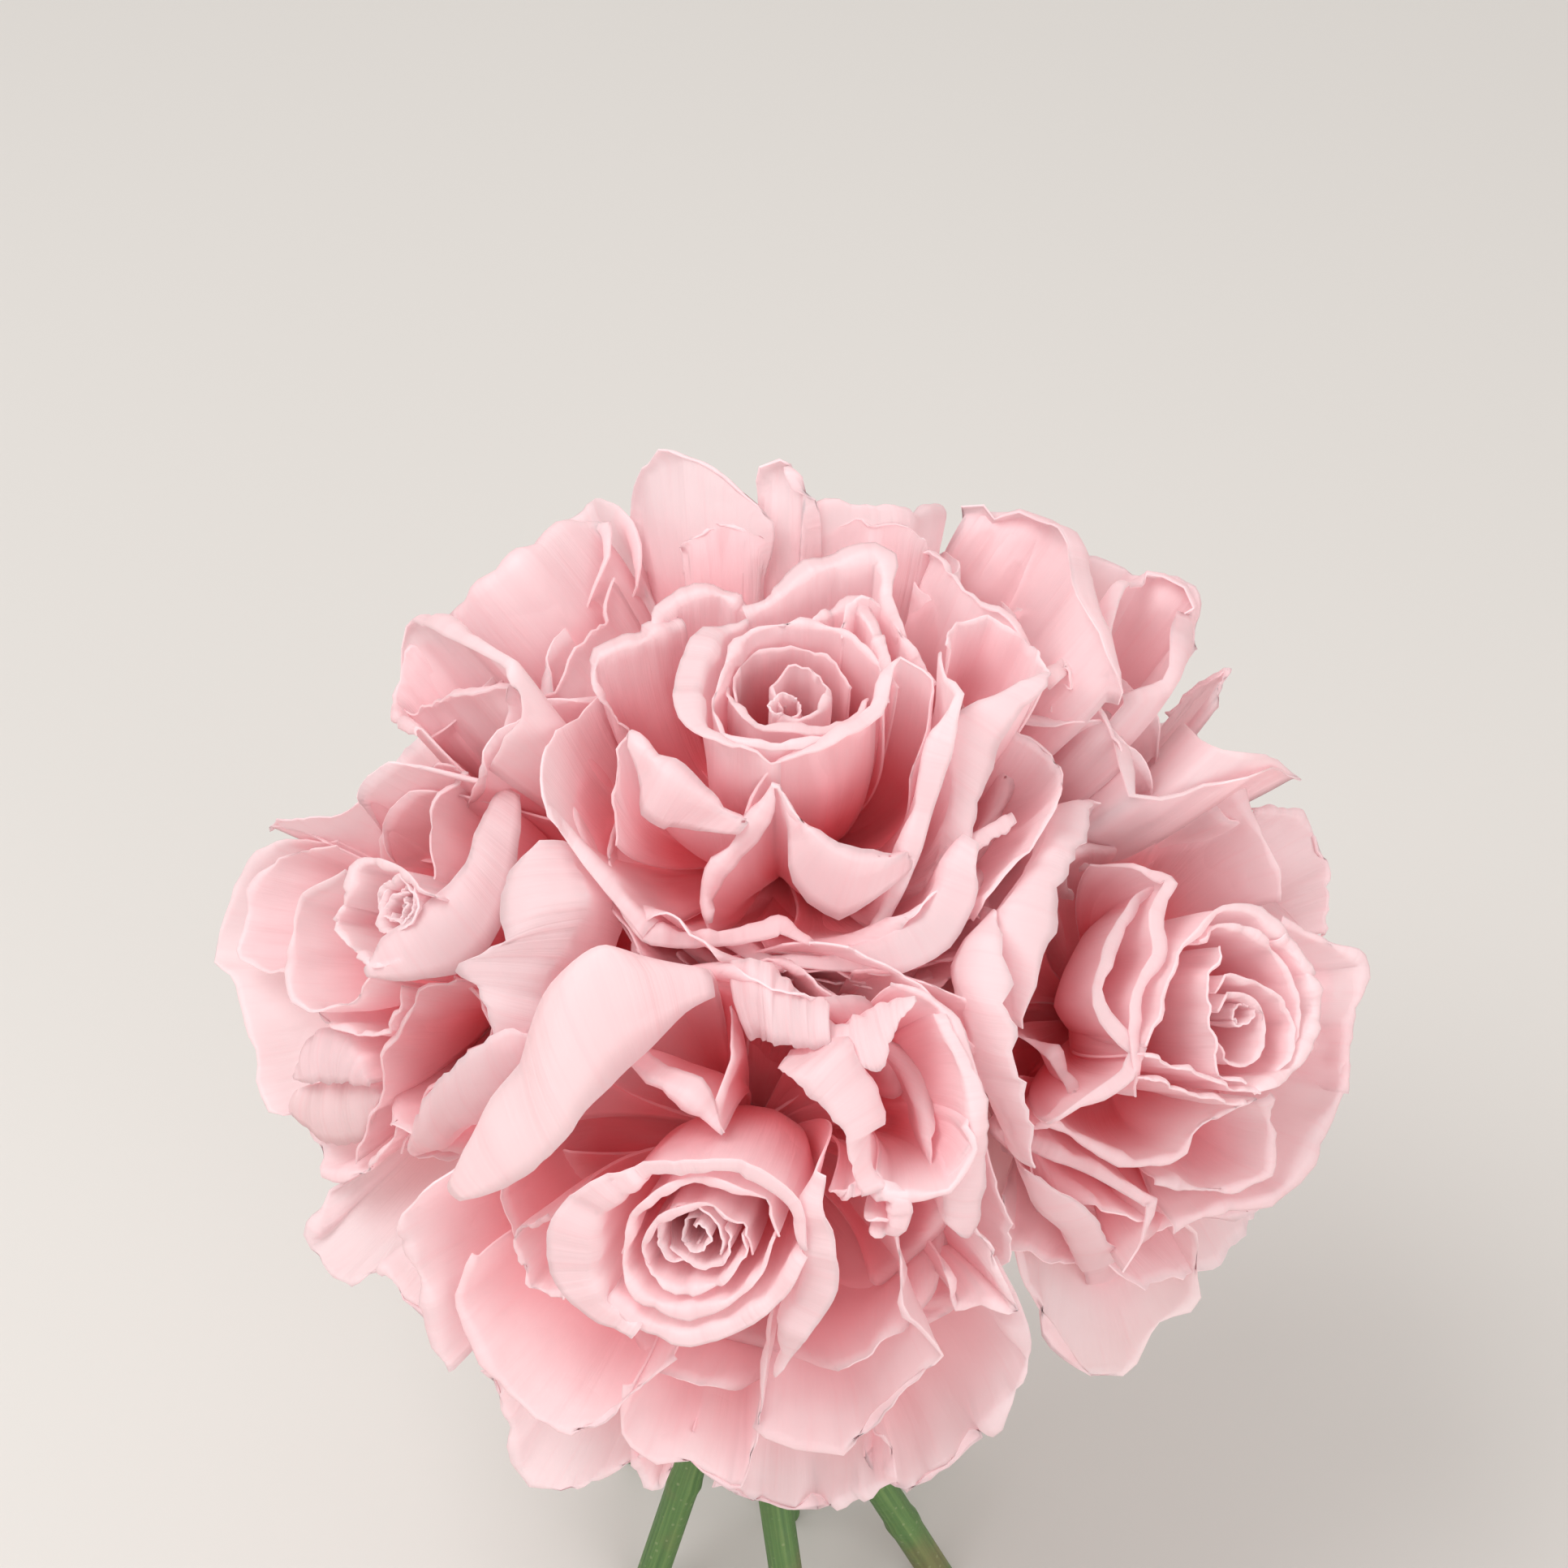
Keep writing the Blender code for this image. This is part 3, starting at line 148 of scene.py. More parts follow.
# The twine, its knot as (width, loops, depth) in knot sizes, and its two ends
TWINE_RADIUS = 0.92
TWINE_TURNS = 6
TWINE_START = math.radians(-100)
TWINE_RINGS = 900
TWINE_SIDES = 12
PLIES = 3
PLY_LENGTH = 3.6
BUNDLE_SLACK = 1.06
KNOT_SIZE = 3.0
KNOT_SHAPE = (0.42, 0.3, 0.32)
KNOT_RINGS = 90
TWINE_END = 13.0
END_SPREAD = (1.2, 3.6)
END_BOW = 0.9
END_RINGS = 30

# Colours: a petal's from its foot to its rim, deeper at the foot partly as painted shade in the crevices,
# the palest petals', partly painted light, and that of light through a petal
DEEP = (1.0, 0.31, 0.35)
ROSY = (1.0, 0.57, 0.61)
PINK = (0.995, 0.78, 0.81)
PALE = (0.99, 0.92, 0.94)
CREAM = (0.99, 0.95, 0.94)
GLOW = (1.0, 0.48, 0.52)
WHITE = (1.0, 1.0, 1.0)

# The stems', the twine's, the floor's and the sky's colours
BARK = (0.055, 0.13, 0.035), (0.10, 0.20, 0.055), (0.19, 0.29, 0.09)
BARK_BROWN = (0.24, 0.13, 0.07)
BARK_DOT = (0.34, 0.38, 0.20)
SEPAL_GREEN = (0.20, 0.33, 0.12)
CUT_CREAM = (0.72, 0.70, 0.50)
# the twine's tan, darkest as painted shade in the grooves between the plies
TWINE_TAN_AND_GROOVE_SHADE = (0.16, 0.10, 0.05), (0.42, 0.31, 0.18), (0.60, 0.47, 0.30)
FIBRE_PALE = (0.72, 0.60, 0.42)
TWINE_BROWN = (0.34, 0.23, 0.12)
FLOOR_PALE = (0.66, 0.64, 0.61), (0.70, 0.68, 0.65)
SKY = (1.0, 0.97, 0.95, 1)

# The stage, in metres and watts: each softbox has its place, its side and its power
FLOOR_SIZE = 40.0
SKY_STRENGTH = 0.79
SOFTBOXES = (((-0.45, -0.1, 1.05), 0.6, 6.0), ((0.55, -0.8, 0.45), 0.8, 3.5))
LIGHT_AIM = (0, 0, 0.17)

# The photo's view: side in pixels, angles in degrees, distance in millimetres
VIEW_SIDE = 1932
VIEW_ANGLE = 28.0
VIEW_ELEVATION = 50.0
VIEW_PITCH = 45.4
VIEW_DISTANCE = 534.0
SENSOR_WIDTH = 36.0

# Each rose: the middle of its cup from the dome's centre, its axis (from vertical, direction),
# how large its bud is and how many rings of it the photo doesn't settle
ROSES = {
    "top": dict(cup=(0, 0, 80), axis=(2, -90), bud=0.90, rings=1, seed=1),
    "front": dict(cup=(-13.5, -70, 37), axis=(66, -104), bud=0.95, rings=2, seed=2),
    "right": dict(cup=(72.5, -26, 37), axis=(50, -44), bud=0.72, rings=1, seed=3),
    "back_right": dict(cup=(47, 44, 50), axis=(50, 40), bud=0.80, rings=5, seed=4),
    "back": dict(cup=(0, 60, 52), axis=(50, 88), bud=0.80, rings=5, seed=5),
    "back_left": dict(cup=(-50, 34, 50), axis=(50, 146), bud=0.80, rings=5, seed=6),
    "left": dict(cup=(-60.5, -14.5, 49), axis=(48, 212), bud=0.50, rings=3, seed=7),
}
RING = tuple(SLOTS)
BLOOM_SEED = 100
STEM_SEED = 200

# How a measured petal is shaped unless it says otherwise: belly is how full it is near the foot, lip the
# width of its folded margin, roll that fold's radius and angle, sharp how angular its rim is, ruffle, wave,
# crease and jag how far in millimetres it frills, bends, crumples and frays, and pale how pale it is,
# partly its own paleness and partly painted light
RIM = dict(belly=None, lip=0.8, roll=(0.5, 150), sharp=0.4, ruffle=0.3, wave=0.4, crease=0.3, jag=0.25,
           pale=0.0, free=(), from_centre=False)


def rim(*points, **how):
    """A measured petal. Each point is photo x, photo y, height above the rose's base (or distance from the
    dome's centre) and the width of the margin there, where it isn't lip. Where the margin's own edge is
    measured too, free has its points."""
    return {**RIM, **how, "points": points}


# A petal of a bud, and one of the three roses at the back
bud = partial(rim, belly=0.95, roll=(0.8, 100), wave=0.1)
shell = partial(rim, roll=(1.8, 110), from_centre=True)

# Measured petals, rose by rose; a rim runs anticlockwise about the rose's axis
PETALS = {}
PETALS["top"] = (
    rim((962, 876, 41), (952, 850, 42), (966, 826, 42.5), (1000, 824, 43), (1020, 845, 43),
        (1014, 878, 42, 1.2), (985, 892, 41, 1.5), (955, 884, 41), belly=1.0, lip=.5, wave=.1),
    rim((1048, 850, 42), (1020, 812, 43), (975, 800, 43), (930, 808, 43), (905, 838, 43), (908, 872, 42),
        belly=1.0, lip=.5, wave=.1),
    bud((902, 835, 42), (900, 862, 43, 1), (925, 884, 43.5, 2), (965, 894, 43.5, 2.5), (1010, 898, 43.5, 2.5),
        (1050, 886, 43.5, 2), (1066, 862, 43.5, 1), belly=1.0, lip=1),
    rim((908, 800, 44), (890, 838, 45), (882, 880, 45), (895, 906, 45, 1), (935, 915, 45, 2),
        (990, 911, 45, 2), (1045, 896, 45, 1), (1082, 870, 46), belly=.98, lip=.7, wave=.1),
    rim((1092, 870, 45), (1080, 820, 46), (1050, 790, 46.5, 1), (1000, 772, 46.5, 2), (950, 774, 46.5, 2),
        (915, 792, 46, 1.5), (895, 825, 45), belly=.98, wave=.1),
    rim((925, 772, 45.5, 2), (888, 792, 46, 4), (868, 838, 46.5, 5), (866, 880, 46, 4.5), (878, 906, 45, 2.5),
        (920, 925, 44, 1.5), (962, 936, 43, 1), belly=.95, roll=(1.0, 95), sharp=.3, wave=.2),
    rim((918, 1012, 33), (936, 965, 38, 1), (962, 937, 42, 1.5), (1020, 912, 44.5, 2.5), (1072, 872, 46.5, 3),
        (1088, 835, 48, 2), (1106, 813, 49, 1), (1132, 824, 48), (1152, 843, 46.5), (1148, 890, 42),
        (1128, 960, 35), belly=.9, roll=(.8, 100), sharp=.4),
    rim((1102, 850, 45), (1086, 812, 46.5, 1.5), (1066, 775, 47.5, 3), (1048, 752, 47.5, 3),
        (1022, 762, 46.5, 2), (1000, 772, 46), belly=.9, roll=(.8, 100), sharp=.5),
    rim((872, 1138, 20, 1), (862, 1108, 23, 3.5), (872, 1072, 27, 4), (908, 1030, 32, 4), (938, 988, 37, 3.5),
        (956, 962, 40, 1.5), (998, 1012, 37, 7), (1030, 1036, 34.5, 13), (1060, 1046, 33.5, 14),
        (1092, 1052, 32.5, 9), (1118, 1050, 30, 3), belly=.9, roll=(.7, 160), sharp=.7),
    rim((757, 1040, 26), (755, 960, 36), (762, 915, 41), (778, 903, 42.5, 1), (800, 920, 43, 5),
        (822, 938, 42.5, 11), (862, 963, 40.5, 11), (895, 992, 37.5, 8), (918, 1013, 34.5, 3), roll=(.7, 160),
        sharp=.7),
    rim((845, 775, 42, 3), (800, 792, 42.5, 5), (745, 812, 41, 4), (738, 835, 39, 2), (744, 865, 36, 1),
        (770, 905, 30), roll=(.8, 110), sharp=.6),
    rim((742, 862, 35), (700, 898, 35), (655, 930, 35, 2), (632, 975, 34, 3), (640, 1003, 33, 4),
        (680, 1008, 31.5, 5), (724, 1052, 28, 5), (770, 1102, 25, 4.5), (806, 1140, 22, 4), roll=(1.2, 95),
        sharp=.5),
    rim((760, 1100, 22, 3), (800, 1140, 22, 4), (868, 1143, 22, 4), (925, 1138, 22.5, 4), (968, 1132, 23, 4),
        (1005, 1160, 22, 2), roll=(1.2, 95), sharp=.5),
    rim((900, 1150, 18, 3), (960, 1175, 18, 4), (1010, 1180, 19, 5), (1046, 1158, 21, 7), (1088, 1148, 22, 8),
        (1130, 1126, 24, 8), (1152, 1098, 26, 7), (1165, 1060, 29, 6), (1185, 1030, 31, 4), roll=(1.4, 85),
        sharp=.5),
    rim((1076, 1145, 20, 2), (1108, 1060, 29, 3), (1128, 975, 38, 4), (1140, 915, 44, 5), (1156, 880, 47, 4),
        (1176, 856, 48.5, 2), (1160, 838, 48), (1156, 805, 48), roll=(.8, 100), sharp=.5),
    rim((1138, 1092, 22), (1160, 1045, 27), (1167, 1000, 32), (1172, 955, 37), (1166, 915, 41),
        (1166, 888, 43.5), (1200, 868, 45), (1245, 848, 45.5), (1286, 828, 45.5), free=((1158, 1105, 22),
        (1188, 1058, 27), (1200, 1018, 31), (1216, 962, 36), (1232, 915, 40), (1250, 888, 43),
        (1268, 866, 44), (1288, 846, 45), (1296, 830, 45)), sharp=.7, pale=.3),
    rim((1290, 836, 44.5, 1), (1262, 790, 43), (1215, 765, 44), (1180, 772, 44), (1162, 800, 45),
        roll=(.9, 120), sharp=.6),
    rim((1150, 845, 42), (1118, 800, 45), (1085, 752, 48), (1062, 737, 50), (1046, 752, 48.5),
        (1040, 790, 46), sharp=.8),
    rim((1112, 790, 44, 1), (1086, 740, 49, 2), (1080, 692, 51, 4), (1040, 700, 51, 5), (998, 714, 50, 5),
        (962, 742, 48, 4), (922, 765, 45, 2), roll=(1.0, 110), sharp=.5),
    rim((935, 772, 42, 1), (905, 752, 44, 3), (880, 735, 45.5, 4), (850, 742, 45, 4), (822, 760, 43, 3),
        (808, 795, 41), roll=(1.0, 110), sharp=.7),
    rim((1200, 1130, 22), (1216, 1105, 26), (1246, 1072, 28), (1286, 1022, 29), (1308, 985, 29.5),
        (1312, 950, 30), (1280, 922, 32), (1236, 896, 34), lip=.5, sharp=.7, wave=.6),
    rim((1142, 1112, 21), (1150, 1075, 25), (1168, 1040, 28), (1192, 1030, 29), (1222, 1016, 30),
        (1248, 1002, 30), free=((1168, 1132, 21), (1196, 1100, 24), (1202, 1062, 27), (1204, 1048, 28),
        (1228, 1034, 29), (1252, 1014, 29.5)), sharp=.7, crease=.5, pale=.3),
    rim((1050, 1215, 12), (1105, 1222, 11), (1155, 1215, 11), (1195, 1180, 13), (1215, 1120, 16)),
)
PETALS["front"] = (
    bud((985, 1535, 43.5, 2), (972, 1482, 44, 3), (930, 1452, 44.5, 3.5), (872, 1440, 44.5, 3),
        (805, 1450, 44, 3.5), (762, 1478, 43.5, 4), roll=(1.2, 85)),
    bud((800, 1454, 43.5, 4), (760, 1480, 44, 6), (738, 1520, 44.5, 8), (736, 1562, 44.5, 7.5),
        (752, 1600, 44, 5), (792, 1628, 43, 3), roll=(1.4, 85)),
    bud((756, 1588, 42.5, 2), (800, 1622, 43, 3), (852, 1636, 43.5, 3), (908, 1618, 43.5, 3),
        (958, 1578, 43.5, 3), (988, 1538, 43, 2), roll=(1.2, 85)),
    bud((958, 1520, 43), (940, 1480, 43.5, 1), (890, 1460, 44, 2), (830, 1466, 44, 2), (785, 1498, 43.5, 1.5),
        (772, 1545, 43), belly=.98),
    bud((778, 1520, 42.5), (772, 1560, 43, 1), (795, 1592, 43.5, 2), (845, 1608, 43.5, 2.5),
        (895, 1596, 43.5, 2), (940, 1560, 43, 1), (952, 1520, 42.5), belly=.98),
    bud((925, 1545, 41.5), (915, 1505, 42.5), (870, 1488, 43, 1.5), (820, 1500, 43, 1.5),
        (796, 1535, 42.5, 1), (806, 1566, 42), belly=1.0, lip=.5, roll=(.7, 100)),
    bud((800, 1530, 41.5), (802, 1565, 42.5), (838, 1584, 43, 1.5), (885, 1575, 43, 1.5), (918, 1545, 42.5),
        (915, 1520, 42), belly=1.0, lip=.5, roll=(.7, 100)),
    rim((908, 1240, 20), (904, 1305, 27), (886, 1362, 33, 1), (892, 1400, 36, 1), (848, 1360, 35, 5),
        (800, 1334, 33, 5), (768, 1308, 30, 5), roll=(.7, 155), sharp=.6),
    rim((872, 1190, 25), (800, 1150, 28), (742, 1120, 31), (702, 1148, 33), (668, 1205, 35), (654, 1270, 37),
        (640, 1312, 38), (600, 1352, 40), (566, 1405, 41), (550, 1456, 41), free=((880, 1228, 27),
        (850, 1242, 30), (812, 1282, 34), (775, 1318, 38), (745, 1345, 41), (725, 1364, 43), (700, 1400, 45),
        (662, 1440, 46), (612, 1468, 46), (568, 1480, 45)), sharp=.6, ruffle=.15, jag=.1, pale=.6),
    rim((560, 1405, 31), (520, 1425, 33), (495, 1430, 33, 1), (500, 1446, 33, 1.5), (490, 1478, 33, 2),
        (503, 1515, 32.5, 2), (520, 1555, 32, 2), (535, 1595, 31, 2), (540, 1640, 30, 2), (560, 1685, 29),
        roll=(.9, 110), sharp=.6),
    rim((590, 1545, 31), (570, 1600, 31), (590, 1650, 31), (650, 1730, 31), (700, 1762, 31), (722, 1756, 31),
        (780, 1710, 30), (830, 1670, 28), lip=1, crease=.5, wave=.7, pale=.3),
    rim((600, 1685, 22), (632, 1745, 22), (645, 1808, 21), (690, 1836, 21), (750, 1808, 21), (795, 1790, 22),
        lip=1, pale=.5),
    rim((680, 1495, 37), (655, 1510, 37), (636, 1530, 37), (652, 1560, 37), (653, 1582, 37), (700, 1592, 37),
        sharp=.8),
    rim((775, 1700, 29), (770, 1760, 28), (800, 1795, 27), (850, 1800, 26), (905, 1836, 25), (925, 1780, 27),
        (945, 1660, 32), (950, 1600, 36), sharp=.6, crease=.6, wave=.8, pale=.4),
    rim((770, 1760, 22), (800, 1822, 20), (812, 1830, 20), (828, 1795, 21), (850, 1760, 23), sharp=.7),
    rim((930, 1750, 27), (985, 1775, 26), (1040, 1782, 26), (1100, 1715, 28), (1158, 1668, 30),
        (1110, 1605, 33), (1095, 1500, 36), (1075, 1490, 38), sharp=.6, crease=.6, wave=.8, pale=.4),
    rim((958, 1690, 36, 1), (966, 1625, 39.5, 5), (984, 1570, 41.5, 7), (988, 1515, 42.5, 6),
        (990, 1470, 43, 4), (1002, 1438, 43, 3), roll=(1.5, 85), sharp=.4),
    rim((880, 1825, 17), (960, 1858, 16), (1000, 1858, 16), (1060, 1835, 16), (1100, 1812, 17),
        (1085, 1760, 18), ruffle=.8, wave=1.2, crease=.9, pale=.4),
    rim((1085, 1790, 16), (1115, 1835, 15), (1200, 1770, 16), (1255, 1700, 18), (1262, 1665, 18),
        (1250, 1600, 20), (1220, 1540, 22), ruffle=1.0, wave=1.6, crease=1.1, pale=.2),
    rim((1165, 1560, 26), (1178, 1608, 25), (1215, 1600, 26), (1250, 1615, 26), (1220, 1550, 28),
        (1185, 1490, 30), ruffle=.5, sharp=.8),
    rim((1096, 1462, 37), (1078, 1440, 37), (1066, 1392, 35.5), (1090, 1384, 35), (1062, 1314, 32.5),
        (1046, 1282, 31), (1005, 1300, 30), (968, 1302, 29), free=((1060, 1476, 39), (1050, 1440, 39.5),
        (1040, 1398, 39), (1016, 1366, 38), (985, 1338, 36.5), (972, 1326, 35), (962, 1318, 33),
        (958, 1314, 31)), sharp=.8, pale=.3),
    rim((1022, 1238, 25), (985, 1222, 24), (955, 1200, 23), (925, 1174, 22), (902, 1176, 20),
        free=((1024, 1290, 30), (985, 1292, 29.5), (952, 1284, 29), (932, 1280, 27), (920, 1278, 25)),
        sharp=.8, pale=.3),
    rim((1128, 1226, 25), (1095, 1236, 26), (1068, 1254, 27), (1045, 1262, 27), (1020, 1262, 26),
        free=((1130, 1234, 26), (1102, 1268, 29), (1088, 1320, 32), (1060, 1314, 32), (1022, 1288, 29)),
        sharp=.8, pale=.2),
    rim((1080, 1440, 36, 1), (1096, 1464, 36.5, 2), (1130, 1467, 36, 2), (1166, 1461, 35, 2),
        (1197, 1410, 33.5, 1.5), (1184, 1384, 32, 1), (1205, 1360, 30), (1182, 1292, 26, 2),
        (1135, 1216, 21, 2), (1100, 1206, 20), roll=(.7, 110), sharp=.6),
    rim((1184, 1524, 31), (1166, 1500, 32), (1164, 1462, 32.5), (1200, 1400, 33), (1188, 1330, 30),
        (1150, 1250, 25), free=((1196, 1524, 29), (1208, 1495, 30), (1214, 1440, 31), (1218, 1380, 31),
        (1206, 1325, 29), (1165, 1250, 25)), sharp=.7),
    rim((1076, 1515, 36.5), (1096, 1508, 37, 3), (1096, 1482, 37, 4), (1040, 1476, 38, 3), (1022, 1465, 39),
        roll=(.8, 110), sharp=.6),
    rim((1240, 1300, 12), (1205, 1235, 12), (1155, 1190, 12), (1105, 1185, 12), (1050, 1200, 12)),
)
PETALS["right"] = (
    bud((1612, 1205, 44.5, 1.5), (1574, 1156, 44.5, 2), (1546, 1131, 44, 2.5), (1510, 1126, 43.5, 2),
        (1480, 1140, 43, 1.5), (1458, 1172, 42.5, 1.5), (1432, 1235, 42, 1.5), (1414, 1290, 42, 1)),
    bud((1540, 1345, 44, 1), (1588, 1312, 44.5, 2), (1606, 1280, 45, 2), (1617, 1240, 45, 2),
        (1602, 1195, 45, 2), (1572, 1156, 44.5, 1.5)),
    bud((1408, 1300, 42), (1450, 1312, 43, 1), (1500, 1332, 43.5, 1), (1548, 1345, 44, 1)),
    bud((1408, 1325, 41), (1470, 1346, 42, 1), (1530, 1358, 43, 1)),
    bud((1585, 1300, 43.5), (1596, 1262, 44, 1), (1590, 1220, 44, 1), (1568, 1180, 44, 1.5),
        (1538, 1152, 43.5, 1.5), (1500, 1146, 43, 1.5), (1474, 1162, 42.5, 1), belly=.98),
    bud((1502, 1168, 43), (1488, 1205, 43.5, 1), (1489, 1250, 43.5, 1), (1495, 1290, 43.5, 1),
        (1503, 1320, 43.5, 1), (1530, 1335, 44), belly=.98),
    bud((1560, 1330, 43.5), (1584, 1300, 44, 1), (1588, 1262, 44, 1), (1572, 1232, 44, 1),
        (1540, 1212, 43.5, 1), (1508, 1205, 43, 1), (1500, 1225, 42.5), belly=1.0),
    bud((1500, 1285, 42), (1515, 1310, 42.5, 1), (1542, 1304, 43, 1), (1554, 1270, 43, 1),
        (1542, 1235, 43, 1), (1512, 1226, 42.5, 1), (1496, 1246, 42), belly=1.0),
    rim((1420, 1090, 30), (1398, 1118, 34, 2), (1374, 1170, 36, 3), (1360, 1232, 38, 3),
        (1385, 1266, 39, 3.5), (1413, 1290, 40, 3.5), (1402, 1332, 40, 4), (1340, 1362, 38, 2),
        (1290, 1386, 34, 1), roll=(.8, 110), sharp=.7),
    rim((1345, 1062, 26), (1400, 1063, 32, 2), (1450, 1090, 38, 3), (1427, 1135, 39, 3), (1432, 1180, 40, 3),
        (1402, 1235, 40, 2.5), (1398, 1300, 39, 2), (1402, 1350, 38, 1), roll=(.8, 110), sharp=.7),
    rim((1575, 1110, 26), (1570, 1080, 28, 1), (1530, 1000, 28, 2), (1495, 958, 26, 2), (1440, 966, 24, 3),
        (1345, 985, 18, 2), roll=(.9, 100)),
    rim((1628, 1150, 24), (1632, 1060, 22, 2), (1602, 1010, 22, 2), (1545, 1002, 22), lip=2, pale=.4),
    rim((1645, 1345, 30), (1655, 1260, 31, 2), (1672, 1188, 31, 2), (1620, 1163, 31, 2), (1575, 1140, 30),
        lip=2, roll=(.9, 100), sharp=.6, pale=.3),
    rim((1440, 1505, 24), (1500, 1482, 25), (1578, 1462, 28, 3), (1620, 1382, 30, 3), (1650, 1340, 31, 2),
        (1655, 1260, 31), lip=2, roll=(.9, 100), sharp=.5, pale=.3),
    rim((1290, 1375, 30), (1400, 1430, 31), (1452, 1418, 33), (1475, 1385, 35, 2), (1545, 1350, 38), lip=1.5,
        sharp=.5),
    rim((1420, 1450, 28), (1520, 1458, 29, 2), (1556, 1440, 31, 2), (1561, 1400, 33, 2), (1550, 1350, 36),
        lip=1.5, roll=(.8, 110), sharp=.5),
    rim((1238, 1372, 18), (1272, 1397, 24, 3), (1350, 1430, 27, 3), (1425, 1476, 29, 3), (1400, 1540, 26, 1),
        (1378, 1562, 24), roll=(1.0, 95), sharp=.8),
    rim((1262, 1440, 64), (1272, 1488, 65), (1305, 1513, 66), (1328, 1550, 66), (1346, 1600, 65),
        (1362, 1655, 64), free=((1284, 1450, 66), (1300, 1466, 68), (1338, 1488, 70), (1368, 1530, 70),
        (1384, 1580, 68), (1388, 1640, 65)), from_centre=True, sharp=.6, crease=.4, pale=.5),
    rim((1238, 1470, 12), (1262, 1570, 10), (1300, 1635, 10), (1345, 1692, 10), (1378, 1688, 11),
        (1425, 1630, 13), (1465, 1600, 14), (1470, 1520, 16), (1440, 1495, 18), sharp=.5, ruffle=.6, wave=.9,
        crease=.6, pale=.9),
    rim((1206, 1112, 70), (1174, 1145, 70), (1164, 1200, 70), (1180, 1255, 70), (1208, 1310, 70),
        (1238, 1372, 71), (1266, 1436, 72), free=((1218, 1120, 73), (1238, 1165, 76), (1246, 1212, 77),
        (1236, 1240, 77), (1250, 1266, 77), (1254, 1310, 76), (1266, 1370, 75), (1275, 1415, 74),
        (1274, 1440, 73)), from_centre=True, sharp=.5, crease=.5, jag=.5, pale=.4),
    rim((1318, 942, 73), (1308, 985, 73), (1284, 1022, 73), (1246, 1070, 73), (1228, 1110, 73),
        (1226, 1142, 72), (1240, 1190, 71), (1252, 1262, 70), free=((1340, 955, 75), (1346, 1000, 76),
        (1326, 1052, 77), (1308, 1096, 77), (1300, 1130, 76), (1287, 1178, 75), (1274, 1225, 73),
        (1258, 1268, 71)), from_centre=True, sharp=.6, crease=.8, ruffle=.5, jag=.5, pale=.4),
    rim((1240, 1260, 22), (1300, 1298, 28, 2), (1336, 1354, 32, 3), (1290, 1385, 30, 2), (1262, 1400, 27),
        roll=(.8, 110), sharp=.7),
    rim((1250, 1050, 12), (1170, 1120, 10), (1118, 1205, 10), (1148, 1300, 12), (1205, 1370, 14)),
)
PETALS["back_right"] = (
    rim((1130, 770, 76), (1142, 690, 86, 3), (1190, 736, 88, 4), (1238, 760, 88, 4), (1258, 790, 87, 4),
        (1262, 835, 82, 2), roll=(1.2, 110), sharp=.5, from_centre=True),
    shell((1180, 730, 80), (1182, 652, 89, 3), (1200, 630, 91, 3), (1226, 652, 91, 3), (1262, 640, 94, 5),
        (1300, 655, 95, 6), (1338, 695, 95, 6), (1352, 760, 94, 6), (1366, 820, 90, 5), (1362, 866, 85, 2)),
    shell((1352, 868, 82), (1357, 780, 90, 2), (1365, 728, 94, 3), (1400, 722, 96, 4), (1450, 728, 97, 5),
        (1462, 765, 97, 5), (1458, 815, 94, 5), (1440, 856, 90, 3), (1385, 870, 85, 2)),
    rim((1440, 885, 84), (1480, 850, 90, 2), (1515, 828, 96, 2), (1500, 866, 92, 1), (1460, 905, 84), lip=1,
        sharp=.6, from_centre=True),
    rim((1475, 800, 88), (1470, 725, 92), (1390, 705, 93), (1330, 690, 94), (1290, 650, 95), (1190, 632, 92),
        lip=3, sharp=.4, from_centre=True),
    shell((1340, 850, 76), (1374, 905, 79, 4), (1394, 945, 80, 5), (1397, 985, 79, 4), (1440, 978, 82, 3),
        (1482, 965, 86, 3), (1540, 988, 91, 3), (1592, 974, 94, 3), (1556, 950, 94, 2), (1500, 928, 91),
        (1455, 902, 85), roll=(1.4, 110), pale=.5),
    shell((1262, 880, 74), (1284, 835, 82, 3), (1302, 818, 84, 4), (1318, 850, 82, 4), (1300, 880, 78, 2),
        roll=(1.4, 110), pale=.5),
    shell((1290, 930, 70), (1300, 870, 78, 2), (1335, 840, 82, 3), (1360, 880, 82, 3), (1380, 950, 78, 2),
        roll=(1.2, 110)),
)
PETALS["back"] = (
    shell((795, 745, 78), (792, 650, 90, 3), (800, 594, 98, 3), (820, 575, 101, 3), (852, 590, 101, 4),
        (895, 625, 98, 4), (925, 662, 94, 4), (936, 702, 88, 3), (938, 750, 78)),
    rim((940, 740, 76), (945, 610, 95, 2), (955, 580, 99, 3), (972, 578, 99, 3), (988, 625, 96, 3),
        (1002, 700, 86, 2), (1010, 740, 78), roll=(1.4, 120), sharp=.5, from_centre=True),
    shell((1180, 700, 80), (1172, 650, 90, 3), (1110, 645, 92, 4), (1060, 645, 92, 4), (1010, 632, 93, 4),
        (990, 650, 90, 2), (985, 700, 84)),
    shell((845, 720, 84), (852, 690, 89, 3), (890, 660, 91, 4), (915, 680, 90, 4), (925, 740, 80),
        roll=(1.4, 110)),
    shell((1020, 720, 80), (1022, 668, 88, 3), (1060, 655, 90, 4), (1110, 668, 90, 4), (1150, 690, 88, 2),
        (1165, 740, 80), roll=(1.4, 110)),
)
